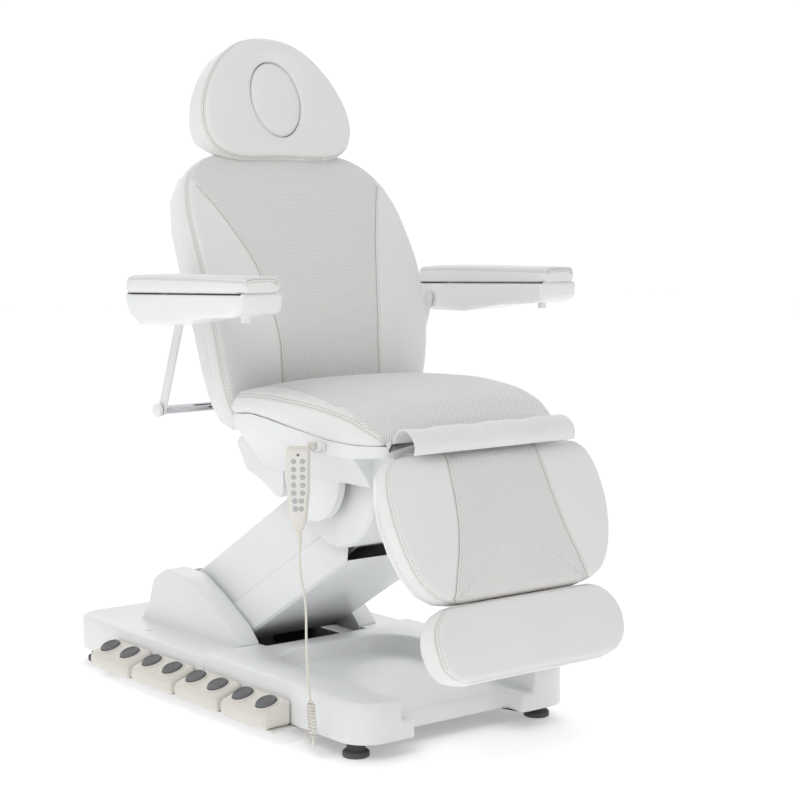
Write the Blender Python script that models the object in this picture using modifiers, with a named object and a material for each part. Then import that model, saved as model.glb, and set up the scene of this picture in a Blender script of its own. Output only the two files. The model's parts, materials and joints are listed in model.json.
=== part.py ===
"""Electric facial treatment bed: lift base, parallel lift arm, tilting seat, reclining back, head and leg rests.

Lengths are in metres, +Z is up and -Y is the foot end. The named sizes are measured from the middle of the
base on the floor; the row origin lies BASE_Y in front of it, under the middle of the whole bed.
Each moving body hangs from an empty that stands on its joint axis.
"""

import math

import bmesh
import bpy
from mathutils import Matrix, Vector

# ---------------------------------------------------------------- driving sizes
GAP = 0.0003  # between pieces that rest on each other
PIN_GAP = 0.0006  # radial play of every pin in its eye
BASE_Y = 0.1258  # the base's middle lies this far behind the bed's middle
LIFT_LEAN = math.radians(31)  # slope of the lift arm as it stands
LIFT_LENGTH = 0.600  # between the two ends of each lift link
BACK_LEAN = math.radians(19)
HEAD_LEAN = math.radians(16.8)
LEG_LEAN = math.radians(21)

# Base
BASE_HALF = 0.300
BASE_BACK = 0.587
BASE_FRONT = -0.605
BASE_SPLIT = -0.022
SKIRT_Z = 0.038
DECK_Z = 0.118
FRONT_DECK_Z = 0.128
COVER_WALL = 0.004
PAN_HALF = 0.185
PAN_BACK = -0.105
PAN_Z = 0.080
LIP_HALF = 0.150
LIP_FRONT = -0.545
HUMP_HALF = 0.202
SLOT_HALF = 0.146
SLOT_BACK = 0.340
PLATE_Z = 0.042
PLATE_THICK = 0.006
PLATE_HALF = 0.272
FOOT_X = 0.255
FOOT_Y = 0.535
FOOT_R = 0.029
WHEEL_X = 0.205
WHEEL_Y = 0.560
WHEEL_Z = 0.030
WHEEL_R = 0.020
WHEEL_WIDE = 0.022
AXLE_R = 0.004

# Foot control
PEDAL_PITCH = 0.190
PEDAL_FIRST_Y = 0.287
PEDAL_LONG = 0.172
PEDAL_WIDE = 0.074
PEDAL_SLOPE = math.radians(20)
PEDAL_TOP_Z = 0.096
BUTTON_R = 0.0235
BUTTON_TALL = 0.018
BUTTON_PAIR = 0.090
BUTTON_SINK = 0.008
BRACKET_Z = 0.031
BRACKET_THICK = 0.005

# Lift arm
ARM_HALF = 0.1405
ARM_WALL = 0.004
SEAT_PIVOT = Vector((0, -0.310, 0.562))
TOP_PIN = Vector((0, -0.300, 0.520))
LOW_TOP_PIN = Vector((0, -0.370, 0.450))
PIN_R = 0.010
LINK_END_R = 0.022
LINK_HALF = 0.018
UPPER_LINK_HALF = 0.030
LOWER_BAR_IN = 0.070
LOWER_BAR_OUT = 0.082
LUG_IN = 0.095
LUG_OUT = 0.105
CRANK_REACH = 0.075
CRANK_ANGLE = math.radians(-70)
CRANK_HALF = 0.010
MOTOR_PIN = Vector((0, 0.485, 0.076))
TUBE_R = 0.0155
ROD_R = 0.010
TUBE_LONG = 0.185
TILT_AXLE_R = 0.014
TILT_AXLE_HALF = 0.181
KNUCKLE_CENTRE = (-0.345, 0.542)
KNUCKLE_R = 0.138
KNUCKLE_TOP_Z = 0.585
CHEEK_IN = 0.160
CHEEK_OUT = 0.166

# Seat
SEAT_HALF = 0.302
SEAT_BACK = -0.127
SEAT_FRONT = -0.612
SEAT_ROOF_Z = 0.640
SHELL_BODY_HALF = 0.206
SHELL_INSIDE = 0.186
EAR_R = 0.100
SEAT_LUG_IN = 0.170
SEAT_LUG_OUT = 0.178
SEAT_PLATE_THICK = 0.008

# Back
BACK_HINGE = Vector((0, -0.035, 0.665))
BACK_FACE = 0.093  # from the recline hinge forward to the face of the back cushion
BACK_PIN_R = 0.008
BACK_BAR_IN = 0.150
BACK_BAR_OUT = 0.162
TUBE_PIN = Vector((0, 0.060, 0.683))
CROSS_R = 0.010
CROSS_HALF = 0.357
KNOB_R = 0.0155
KNOB_LONG = 0.016
POST_IN = 0.3495
POST_OUT = 0.3545
POST_WIDE = 0.027
ARM_PIVOT = Vector((0, -0.032, 0.920))
ARM_PIN_R = 0.007
REST_IN = 0.358
REST_OUT = 0.468
REST_BACK = 0.028
REST_FRONT = -0.433

# Head
HEAD_BASE = Vector((0, 0.062, 1.255))
HEAD_THICK = 0.075
HEAD_POST_X = 0.060
HEAD_POST_R = 0.007
HEAD_POST_DEPTH = 0.068
HEAD_POST_LOW = 0.430
HEAD_POST_TOP = 0.612
HEAD_HINGE_UP = 0.645
HEAD_HINGE_DEPTH = 0.100
HOLE_UP = 0.143
HOLE_HALF_WIDE = 0.070
HOLE_HALF_TALL = 0.0925
PLUG_GAP = 0.0015

# Leg and foot
LEG_TOP = Vector((0, -0.668, 0.650))
LEG_PAD = 0.052
LEG_BOARD = 0.014
LEG_HINGE_UP = -0.0105
LEG_HINGE_DEPTH = 0.041
LEG_PIN_R = 0.005
RAIL_X = 0.080
RAIL_DEPTH = 0.080
RAIL_R = 0.005
FOOT_PAD_THICK = 0.066

# Handset and its cord
HOOK_X = -0.3085
HOOK_Y = -0.464
HANDSET_TOP = Vector((-0.340, -0.452, 0.652))
HANDSET_TURN = math.radians(-38)
HANDSET_LONG = 0.175
HANDSET_WIDE = 0.050
HANDSET_THICK = 0.024
CORD_R = 0.0025
CURL_R = 0.0085

ALONG = Vector((0, -math.cos(LIFT_LEAN), math.sin(LIFT_LEAN)))
ABOVE = Vector((0, math.sin(LIFT_LEAN), math.cos(LIFT_LEAN)))
BASE_PIN = TOP_PIN - LIFT_LENGTH * ALONG
LOW_BASE_PIN = LOW_TOP_PIN - LIFT_LENGTH * ALONG

# Colours as linear values, with metallic and roughness
FINISHES = {
    "white_plastic": ((0.86, 0.87, 0.87), 0.0, 0.28),
    "white_vinyl": ((0.80, 0.79, 0.78), 0.0, 0.55),
    "grey_plastic": ((0.70, 0.68, 0.63), 0.0, 0.45),
    "dark_rubber": ((0.12, 0.12, 0.13), 0.0, 0.75),
    "black_rubber": ((0.015, 0.015, 0.016), 0.0, 0.6),
    "dark_steel": ((0.05, 0.05, 0.055), 0.6, 0.45),
    "white_steel": ((0.82, 0.82, 0.81), 0.1, 0.35),
    "chrome": ((0.60, 0.60, 0.62), 1.0, 0.12),
}

parts = None
cutters = None
axes = {}
places = {}


# ---------------------------------------------------------------- scene and bodies
def clear_scene():
    for obj in list(bpy.data.objects):
        bpy.data.objects.remove(obj, do_unlink=True)


def new_collection(name):
    collection = bpy.data.collections.new(name)
    bpy.context.scene.collection.children.link(collection)
    return collection


def material(name):
    found = bpy.data.materials.get(name)
    if found:
        return found
    colour, metallic, roughness = FINISHES[name]
    made = bpy.data.materials.new(name)
    made.use_nodes = True
    shader = made.node_tree.nodes["Principled BSDF"]
    shader.inputs["Base Color"].default_value = (*colour, 1)
    shader.inputs["Metallic"].default_value = metallic
    shader.inputs["Roughness"].default_value = roughness
    return made


def add_axis(body, pivot, parent=None):
    """An empty on the joint axis that carries a body's pieces."""
    empty = bpy.data.objects.new("axis_" + body, None)
    empty.empty_display_size = 0.03
    parts.objects.link(empty)
    empty.location = Vector(pivot) - (places[parent] if parent else Vector((0, -BASE_Y, 0)))
    if parent:
        empty.parent = axes[parent]
    axes[body] = empty
    places[body] = Vector(pivot)


def put(obj, body, finish, cutter=False):
    """Hang an object that is drawn in base coordinates from its body's empty."""
    group = cutters if cutter else parts
    if not obj.users_collection:
        group.objects.link(obj)
    obj.data.transform(Matrix.Translation(-places[body]))
    obj.parent = axes[body]
    obj.data.materials.clear()
    obj.data.materials.append(material(finish))
    if cutter:
        obj.hide_render = True
        obj.display_type = "WIRE"
    return obj


# ---------------------------------------------------------------- outlines
def rounded(corners, steps=3):
    """An outline whose corners (u, v, radius) become arcs."""
    outline = []
    count = len(corners)
    for i, (u, v, radius) in enumerate(corners):
        here = Vector((u, v))
        to_last = Vector(corners[i - 1][:2]) - here
        to_next = Vector(corners[(i + 1) % count][:2]) - here
        turn = to_last.angle(to_next)
        reach = radius / math.tan(turn / 2) if radius else 0
        reach = min(reach, 0.49 * to_last.length, 0.49 * to_next.length)
        if reach < 0.0002 or turn > math.radians(176):
            outline.append((u, v))
            continue
        radius = reach * math.tan(turn / 2)
        middle = here + (to_last.normalized() + to_next.normalized()).normalized() * radius / math.sin(turn / 2)
        first = here + to_last.normalized() * reach - middle
        last = here + to_next.normalized() * reach - middle
        swing = first.angle_signed(last)
        for step in range(steps + 1):
            angle = -swing * step / steps
            point = middle + Matrix.Rotation(angle, 2) @ first
            outline.append((point.x, point.y))
    return outline


def arc(centre, radius, start, end, steps):
    """Points on an arc, with angles in degrees."""
    angles = [math.radians(start + (end - start) * i / steps) for i in range(steps + 1)]
    return [(centre[0] + radius * math.cos(a), centre[1] + radius * math.sin(a)) for a in angles]


def stadium(start, end, radius, steps=5):
    """The outline of a bar with round ends between two points."""
    start, end = Vector(start), Vector(end)
    heading = math.degrees(math.atan2(end.y - start.y, end.x - start.x))
    return (arc(end, radius, heading - 90, heading + 90, steps)
            + arc(start, radius, heading + 90, heading + 270, steps))


def mirrored(half):
    """A closed outline from its right half, whose first and last points are on the centre line."""
    return half + [(-u, v) for u, v in reversed(half) if abs(u) > 1e-6]


def yz(point):
    return (point.y, point.z)


# ---------------------------------------------------------------- solids
def frame_of(origin, u_axis, v_axis):
    """The matrix that stands a drawing on two axes; its thickness runs along their cross product."""
    u_axis, v_axis = Vector(u_axis), Vector(v_axis)
    turned = Matrix((u_axis, v_axis, u_axis.cross(v_axis))).transposed().to_4x4()
    return Matrix.Translation(origin) @ turned


SIDE = frame_of((0, 0, 0), (0, 1, 0), (0, 0, 1))  # drawn in (y, z), thick along X
PLAN = frame_of((0, 0, 0), (1, 0, 0), (0, 1, 0))  # drawn in (x, y), thick along Z
END = frame_of((0, 0, 0), (0, 0, 1), (1, 0, 0))  # drawn in (z, x), thick along Y
BACK = frame_of(BACK_HINGE + BACK_FACE * Vector((0, -math.cos(BACK_LEAN), math.sin(BACK_LEAN))),
                (1, 0, 0), (0, math.sin(BACK_LEAN), math.cos(BACK_LEAN)))
HEAD = frame_of(HEAD_BASE, (1, 0, 0), (0, math.sin(HEAD_LEAN), math.cos(HEAD_LEAN)))
LEG = frame_of(LEG_TOP, (-1, 0, 0), (0, -math.sin(LEG_LEAN), -math.cos(LEG_LEAN)))


def side_of(panel):
    """The same panel's frame for a drawing in (up, depth), thick along X."""
    up = panel.to_3x3().col[1]
    depth = -panel.to_3x3().col[2]
    return frame_of(panel.translation, up, depth)


def on(panel, up, depth, across=0.0):
    """A point of a tilted panel, by its height along the panel and its depth behind the face."""
    return panel @ Vector((across, up, -depth))


def finished(bm, name):
    bmesh.ops.remove_doubles(bm, verts=bm.verts, dist=1e-5)
    bmesh.ops.dissolve_limit(bm, angle_limit=0.002, verts=bm.verts, edges=bm.edges)
    bmesh.ops.recalc_face_normals(bm, faces=bm.faces)
    mesh = bpy.data.meshes.new(name)
    bm.to_mesh(mesh)
    bm.free()
    return bpy.data.objects.new(name, mesh)


def slab(name, outline, low, high, frame=SIDE):
    """A flat outline made thick from low to high along the frame's third axis."""
    curve = bpy.data.curves.new(name, "CURVE")
    curve.dimensions = "2D"
    curve.fill_mode = "BOTH"
    curve.extrude = (high - low) / 2
    spline = curve.splines.new("POLY")
    spline.points.add(len(outline) - 1)
    for point, (u, v) in zip(spline.points, outline):
        point.co = (u, v, 0, 1)
    spline.use_cyclic_u = True
    drawn = bpy.data.objects.new(name + "_outline", curve)
    cutters.objects.link(drawn)
    mesh = bpy.data.meshes.new_from_object(drawn.evaluated_get(bpy.context.evaluated_depsgraph_get()))
    bpy.data.objects.remove(drawn)
    bpy.data.curves.remove(curve)
    bm = bmesh.new()
    bm.from_mesh(mesh)
    bpy.data.meshes.remove(mesh)
    bm.transform(frame @ Matrix.Translation((0, 0, (high + low) / 2)))
    return finished(bm, name)


def cylinder(name, start, end, radius, sides=14, end_radius=None):
    """A round bar or cone between two points."""
    start, end = Vector(start), Vector(end)
    bm = bmesh.new()
    bmesh.ops.create_cone(bm, cap_ends=True, segments=sides, radius1=radius,
                          radius2=radius if end_radius is None else end_radius, depth=(end - start).length)
    turned = (end - start).to_track_quat("Z", "Y").to_matrix().to_4x4()
    bm.transform(Matrix.Translation((start + end) / 2) @ turned)
    return finished(bm, name)


def cross_bar(name, centre, half, radius, sides=14):
    """A round bar along X, centred on the bed."""
    centre = Vector(centre)
    return cylinder(name, centre - Vector((half, 0, 0)), centre + Vector((half, 0, 0)), radius, sides)


def wire(name, points, radius, roundness=2):
    """A tube that follows a line of points, as one closed mesh."""
    curve = bpy.data.curves.new(name, "CURVE")
    curve.dimensions = "3D"
    curve.bevel_depth = radius
    curve.bevel_resolution = roundness
    curve.use_fill_caps = True
    spline = curve.splines.new("POLY")
    spline.points.add(len(points) - 1)
    for point, place in zip(spline.points, points):
        point.co = (*place, 1)
    drawn = bpy.data.objects.new(name + "_line", curve)
    cutters.objects.link(drawn)
    mesh = bpy.data.meshes.new_from_object(drawn.evaluated_get(bpy.context.evaluated_depsgraph_get()))
    bpy.data.objects.remove(drawn)
    bpy.data.curves.remove(curve)
    bm = bmesh.new()
    bm.from_mesh(mesh)
    bpy.data.meshes.remove(mesh)
    return finished(bm, name)


def turned(name, profile, centre, sides=18):
    """A solid of revolution about a vertical axis, from its (radius, height) profile."""
    bm = bmesh.new()
    points = [bm.verts.new((radius, 0, height)) for radius, height in profile]
    edges = [bm.edges.new(pair) for pair in zip(points, points[1:])]
    bmesh.ops.spin(bm, geom=points + edges, axis=(0, 0, 1), cent=(0, 0, 0), angle=math.tau, steps=sides,
                   use_merge=True)
    bm.transform(Matrix.Translation(centre))
    return finished(bm, name)


def smooth_line(knots, count):
    """Evenly counted points on a smooth curve through the knots."""
    knots = [Vector(k) for k in knots]
    line = [knots[0] * 2 - knots[1]] + knots + [knots[-1] * 2 - knots[-2]]
    points = []
    for i in range(count):
        at = i / (count - 1) * (len(knots) - 1)
        k = min(int(at), len(knots) - 2)
        t = at - k
        a, b, c, d = line[k:k + 4]
        points.append(0.5 * ((2 * b) + (c - a) * t + (2 * a - 5 * b + 4 * c - d) * t * t
                             + (3 * b - a - 3 * c + d) * t ** 3))
    return points


# ---------------------------------------------------------------- cutting, joining and rounding
def boolean(obj, other, operation):
    step = obj.modifiers.new(operation.lower() + "_" + other.name, "BOOLEAN")
    step.operation = operation
    step.object = other
    step.solver = "EXACT"


def cut(obj, body, *tools):
    for tool in tools:
        put(tool, body, "dark_steel", cutter=True)
        boolean(obj, tool, "DIFFERENCE")


def join(obj, body, *pieces):
    for piece in pieces:
        put(piece, body, "dark_steel", cutter=True)
        boolean(obj, piece, "UNION")


def keep(obj, body, *limits):
    for limit in limits:
        put(limit, body, "dark_steel", cutter=True)
        boolean(obj, limit, "INTERSECT")


def soften(obj, width, segments=1, angle=30):
    step = obj.modifiers.new("edges", "BEVEL")
    step.width = width
    step.segments = segments
    step.limit_method = "ANGLE"
    step.angle_limit = math.radians(angle)
    step.use_clamp_overlap = True
    weld = obj.modifiers.new("weld", "WELD")
    weld.merge_threshold = 0.00004
    obj.data.shade_smooth()
    obj.data.set_sharp_from_angle(angle=math.radians(40))


# ---------------------------------------------------------------- base
def base_outline(front, back, half, corner, front_corner):
    return rounded([(-half, back, corner), (-half, front, front_corner),
                    (half, front, front_corner), (half, back, corner)], 5)


def hump_outline(inset=0.0):
    """The side view of the raised housing around the arm's foot."""
    return rounded([
        (0.430 - inset, DECK_Z - 0.010, 0), (0.385 - inset, 0.165, 0.05), (0.362 - inset, 0.232 - inset, 0.04),
        (0.300, 0.264 - inset, 0.05), (0.205 + inset / 2, 0.258 - inset, 0.05),
        (0.125 + inset / 2, 0.222 - inset, 0.10), (0.020 + inset, 0.165 - inset, 0.08),
        (BASE_SPLIT + 0.004 + inset, DECK_Z + 0.012 - inset, 0), (BASE_SPLIT + 0.004 + inset, DECK_Z - 0.010, 0)], 2)


def make_base_frame():
    top = PLATE_Z + PLATE_THICK
    notch_half, notch_y, end_y = LIP_HALF + 0.020, LIP_FRONT + 0.015, FOOT_Y + 0.020
    plate = rounded([(-PLATE_HALF, end_y, 0.03), (-PLATE_HALF, -end_y, 0.03), (-notch_half, -end_y, 0),
                     (-notch_half, notch_y, 0), (notch_half, notch_y, 0), (notch_half, -end_y, 0),
                     (PLATE_HALF, -end_y, 0.03), (PLATE_HALF, end_y, 0.03)])
    frame = slab("base_frame", plate, PLATE_Z, top, PLAN)
    put(frame, "base", "dark_steel")
    lug = [(0.100, top - 0.002), (0.275, top - 0.002), (BASE_PIN.y + 0.03, BASE_PIN.z + 0.01),
           (BASE_PIN.y, BASE_PIN.z + 0.026), (BASE_PIN.y - 0.03, BASE_PIN.z + 0.012),
           (LOW_BASE_PIN.y - 0.026, LOW_BASE_PIN.z + 0.006), (0.105, 0.10)]
    for side in (-1, 1):
        low, high = sorted((side * LUG_IN, side * LUG_OUT))
        join(frame, "base", slab("arm_lug", lug, low, high))
        motor_low, motor_high = sorted((side * 0.0195, side * 0.0255))
        join(frame, "base", slab("motor_lug", stadium((MOTOR_PIN.y, top - 0.004), yz(MOTOR_PIN), 0.013),
                                 motor_low, motor_high))
        lug_x = WHEEL_X + WHEEL_WIDE / 2 + 0.006
        wheel_low, wheel_high = sorted((side * lug_x, side * (lug_x + 0.006)))
        room_low, room_high = sorted((side * (WHEEL_X - WHEEL_WIDE / 2 - 0.003), side * (lug_x - 0.002)))
        cut(frame, "base", slab("wheel_room", [(room_low, WHEEL_Y - WHEEL_R - 0.003),
                                               (room_high, WHEEL_Y - WHEEL_R - 0.003),
                                               (room_high, WHEEL_Y + 0.05), (room_low, WHEEL_Y + 0.05)],
                                0, 0.1, PLAN))
        join(frame, "base", slab("wheel_lug", stadium((WHEEL_Y - 0.010, PLATE_Z + 0.004), (WHEEL_Y, WHEEL_Z), 0.007),
                                 wheel_low, wheel_high))
    join(frame, "base",
         cross_bar("base_pin", BASE_PIN, LUG_IN + 0.002, PIN_R),
         cross_bar("low_base_pin", LOW_BASE_PIN, LUG_IN + 0.002, PIN_R),
         cross_bar("motor_pin", MOTOR_PIN, 0.021, 0.005, 16),
         cross_bar("wheel_axle", (0, WHEEL_Y, WHEEL_Z), WHEEL_X + WHEEL_WIDE / 2 + 0.009, AXLE_R, 12))


def end_block(name, near, far):
    """A block that squares off a base cover at the line where the two covers meet."""
    low, high = sorted((near, far))
    return slab(name, [(-0.4, low), (0.4, low), (0.4, high), (-0.4, high)], -0.1, 0.4, PLAN)


def skirt_block():
    """A block that ends a base cover at its lower edge."""
    return slab("skirt_end", [(-0.4, -0.7), (0.4, -0.7), (0.4, 0.7), (-0.4, 0.7)], -0.1, SKIRT_Z, PLAN)


def make_rear_cover():
    wall = COVER_WALL
    cover = slab("rear_cover", base_outline(BASE_SPLIT - 0.030, BASE_BACK, BASE_HALF, 0.065, 0),
                 SKIRT_Z - 0.020, DECK_Z, PLAN)
    put(cover, "base", "white_plastic")
    join(cover, "base", slab("hump", hump_outline(), -HUMP_HALF, HUMP_HALF))
    soften(cover, 0.008, 2, 35)
    cut(cover, "base", end_block("front_end", BASE_SPLIT + GAP, BASE_SPLIT - 0.10), skirt_block(),
        slab("deck_hollow", base_outline(BASE_SPLIT - 0.06, BASE_BACK - wall, BASE_HALF - wall, 0.061, 0),
             SKIRT_Z - 0.02, DECK_Z - wall, PLAN),
        slab("hump_hollow_left", hump_outline(wall), -HUMP_HALF + wall, -SLOT_HALF - wall),
        slab("hump_hollow_right", hump_outline(wall), SLOT_HALF + wall, HUMP_HALF - wall),
        slab("motor_room", [(SLOT_BACK + wall, 0.100), (0.424, 0.100), (0.381, 0.163), (0.357, 0.222),
                            (SLOT_BACK + wall, 0.238)], -SLOT_HALF, SLOT_HALF),
        slab("rod_window", [(SLOT_BACK - 0.02, 0.050), (SLOT_BACK + 0.02, 0.050), (SLOT_BACK + 0.02, 0.165),
                            (SLOT_BACK - 0.02, 0.165)], -0.032, 0.032),
        slab("arm_slot", rounded([(-0.12, 0.02, 0), (SLOT_BACK, 0.02, 0), (SLOT_BACK, 0.35, 0),
                                  (-0.12, 0.35, 0)]), -SLOT_HALF, SLOT_HALF))


def make_front_cover():
    wall = COVER_WALL
    cover = slab("front_cover", base_outline(BASE_FRONT, BASE_SPLIT + 0.030, BASE_HALF, 0, 0.065),
                 SKIRT_Z - 0.020, FRONT_DECK_Z, PLAN)
    put(cover, "base", "white_plastic")
    pan = rounded([(-PAN_HALF, PAN_BACK, 0.09), (-PAN_HALF, BASE_FRONT - 0.05, 0),
                   (PAN_HALF, BASE_FRONT - 0.05, 0), (PAN_HALF, PAN_BACK, 0.09)], 6)
    lip = rounded([(-LIP_HALF, LIP_FRONT, 0.02), (-LIP_HALF, BASE_FRONT - 0.05, 0),
                   (LIP_HALF, BASE_FRONT - 0.05, 0), (LIP_HALF, LIP_FRONT, 0.02)], 4)
    cut(cover, "base", slab("pan", pan, PAN_Z, FRONT_DECK_Z + 0.05, PLAN),
        slab("lip_notch", lip, SKIRT_Z - 0.02, FRONT_DECK_Z + 0.05, PLAN))
    soften(cover, 0.009, 2, 35)
    inner_half = BASE_HALF - wall
    lip_line = LIP_HALF + wall
    under = rounded([(-inner_half, BASE_SPLIT + 0.06, 0), (-inner_half, BASE_FRONT + wall, 0.06),
                     (-lip_line, BASE_FRONT + wall, 0), (-lip_line, LIP_FRONT + 2 * wall, 0),
                     (lip_line, LIP_FRONT + 2 * wall, 0), (lip_line, BASE_FRONT + wall, 0),
                     (inner_half, BASE_FRONT + wall, 0.06), (inner_half, BASE_SPLIT + 0.06, 0)], 4)
    pan_half = PAN_HALF + wall
    above = rounded([(-inner_half, BASE_SPLIT + 0.05, 0), (-inner_half, BASE_FRONT + wall + 0.02, 0.06),
                     (-pan_half, BASE_FRONT + wall + 0.02, 0), (-pan_half, PAN_BACK + wall, 0.09),
                     (pan_half, PAN_BACK + wall, 0.09), (pan_half, BASE_FRONT + wall + 0.02, 0),
                     (inner_half, BASE_FRONT + wall + 0.02, 0.06), (inner_half, BASE_SPLIT + 0.05, 0)], 4)
    arm_well = [(-SLOT_HALF, BASE_SPLIT + 0.03), (-SLOT_HALF, -0.048), (SLOT_HALF, -0.048),
                (SLOT_HALF, BASE_SPLIT + 0.03)]
    cut(cover, "base", end_block("rear_end", BASE_SPLIT - GAP, BASE_SPLIT + 0.10), skirt_block(),
        slab("under_hollow", under, SKIRT_Z - 0.02, PAN_Z - wall, PLAN),
        slab("rail_hollow", above, PAN_Z - wall - 0.002, FRONT_DECK_Z - wall, PLAN),
        slab("arm_well", arm_well, SKIRT_Z - 0.02, FRONT_DECK_Z + 0.05, PLAN))


def make_feet():
    profile = [(0, 0), (FOOT_R - 0.002, 0), (FOOT_R, 0.003), (FOOT_R, 0.012), (0.020, 0.016), (0.020, 0.031),
               (0.007, 0.033), (0.007, PLATE_Z - GAP), (0, PLATE_Z - GAP)]
    for end, y in (("rear", FOOT_Y), ("front", -FOOT_Y)):
        for name, x in (("right", -FOOT_X), ("left", FOOT_X)):
            foot = turned("levelling_foot_%s_%s" % (end, name), profile, (x, y, 0), 18)
            put(foot, "base", "black_rubber")


def make_wheels():
    for name, side in (("right", -1), ("left", 1)):
        low, high = sorted((side * (WHEEL_X - WHEEL_WIDE / 2), side * (WHEEL_X + WHEEL_WIDE / 2)))
        centre = (0, WHEEL_Y, WHEEL_Z)
        wheel = cylinder("transport_wheel_" + name, (low, *centre[1:]), (high, *centre[1:]), WHEEL_R, 24)
        put(wheel, "wheel_" + name, "black_rubber")
        soften(wheel, 0.003, 1)
        cut(wheel, "wheel_" + name, cross_bar("wheel_bore", centre, 0.35, AXLE_R + PIN_GAP, 12))


# ---------------------------------------------------------------- foot control
def pedal_normal():
    return Vector((-math.sin(PEDAL_SLOPE), 0, math.cos(PEDAL_SLOPE)))


def pedal_top(y):
    """The middle of the sloping top at a place along the bed."""
    inner = -BASE_HALF - 0.0015
    drop = PEDAL_WIDE / 2 * math.tan(PEDAL_SLOPE)
    return Vector((inner - PEDAL_WIDE / 2, y, PEDAL_TOP_Z - drop))


def make_pedals():
    inner = -BASE_HALF - 0.0015
    outer = inner - PEDAL_WIDE
    low = BRACKET_Z + BRACKET_THICK + GAP
    fall = PEDAL_WIDE * math.tan(PEDAL_SLOPE)
    last_y = PEDAL_FIRST_Y - 3 * PEDAL_PITCH
    strip_front = last_y - PEDAL_LONG / 2 - 0.012
    strip_back = PEDAL_FIRST_Y + PEDAL_LONG / 2 - 0.020
    strip = slab("pedal_bracket", [(-BASE_HALF + 0.045, strip_front), (-BASE_HALF + 0.045, strip_back),
                                   (outer + 0.014, strip_back), (outer + 0.014, strip_front)],
                 BRACKET_Z, BRACKET_Z + BRACKET_THICK, PLAN)
    put(strip, "base", "white_steel")
    section = [(low, inner), (PEDAL_TOP_Z, inner), (PEDAL_TOP_Z - fall, outer), (low, outer)]
    for pedal in range(4):
        middle = PEDAL_FIRST_Y - pedal * PEDAL_PITCH
        housing = slab("pedal_housing_%d" % (pedal + 1), section, middle - PEDAL_LONG / 2,
                       middle + PEDAL_LONG / 2, END)
        put(housing, "base", "grey_plastic")
        soften(housing, 0.007, 1)
        for which, shift in enumerate((1, -1)):
            number = 2 * pedal + which + 1
            top = pedal_top(middle + shift * BUTTON_PAIR / 2)
            floor = top - (BUTTON_SINK + 0.0055) * pedal_normal()
            cut(housing, "base", cylinder("button_well", floor, top + 0.03 * pedal_normal(),
                                          BUTTON_R + 0.001, 18))
            foot = top - BUTTON_SINK * pedal_normal()
            button = cylinder("pedal_button_%d" % number, foot, foot + BUTTON_TALL * pedal_normal(),
                              BUTTON_R, 18)
            put(button, "button_%d" % number, "dark_rubber")
            soften(button, 0.003, 1)


# ---------------------------------------------------------------- lift arm
def arm_point(s, n):
    """(y, z) of a point by its distance along the arm's slope and its height above it."""
    point = s * ALONG + n * ABOVE
    return yz(point)


def eye(name, centre, radius):
    return cross_bar(name, centre, 0.4, radius)


def make_upper_arm():
    beam = slab("upper_link", stadium(yz(BASE_PIN), yz(TOP_PIN), LINK_END_R), -UPPER_LINK_HALF, UPPER_LINK_HALF)
    put(beam, "upper_arm", "dark_steel")
    crank_end = crank_place()
    join(beam, "upper_arm", slab("crank", stadium(yz(BASE_PIN), yz(crank_end), 0.016), -CRANK_HALF, CRANK_HALF))
    cut(beam, "upper_arm", eye("upper_eye_low", BASE_PIN, PIN_R + PIN_GAP),
        eye("upper_eye_top", TOP_PIN, PIN_R + PIN_GAP))

    top, skirt = 0.353, 0.212
    outline = [(-0.152, skirt + 0.02, 0.02), (-0.152, top, 0.03), (0.505, top, 0.03), (0.535, skirt, 0.0),
               (-0.03, skirt, 0.0)]
    outer = rounded([(*arm_point(s, n), r) for s, n, r in outline], 4)
    cover = slab("upper_arm_cover", outer, -ARM_HALF + 0.0048, ARM_HALF - 0.0048)
    put(cover, "upper_arm", "white_plastic")
    soften(cover, 0.006, 1, 50)
    inner = [arm_point(s, n) for s, n in ((-0.20, skirt - 0.05), (-0.20, top - ARM_WALL),
                                          (0.60, top - ARM_WALL), (0.60, skirt - 0.05))]
    cut(cover, "upper_arm", slab("upper_channel", inner, -ARM_HALF + 0.0048 + ARM_WALL,
                                 ARM_HALF - 0.0048 - ARM_WALL))


def crank_place():
    reach = Vector((0, math.cos(CRANK_ANGLE), math.sin(CRANK_ANGLE)))
    return BASE_PIN + CRANK_REACH * reach


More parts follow.
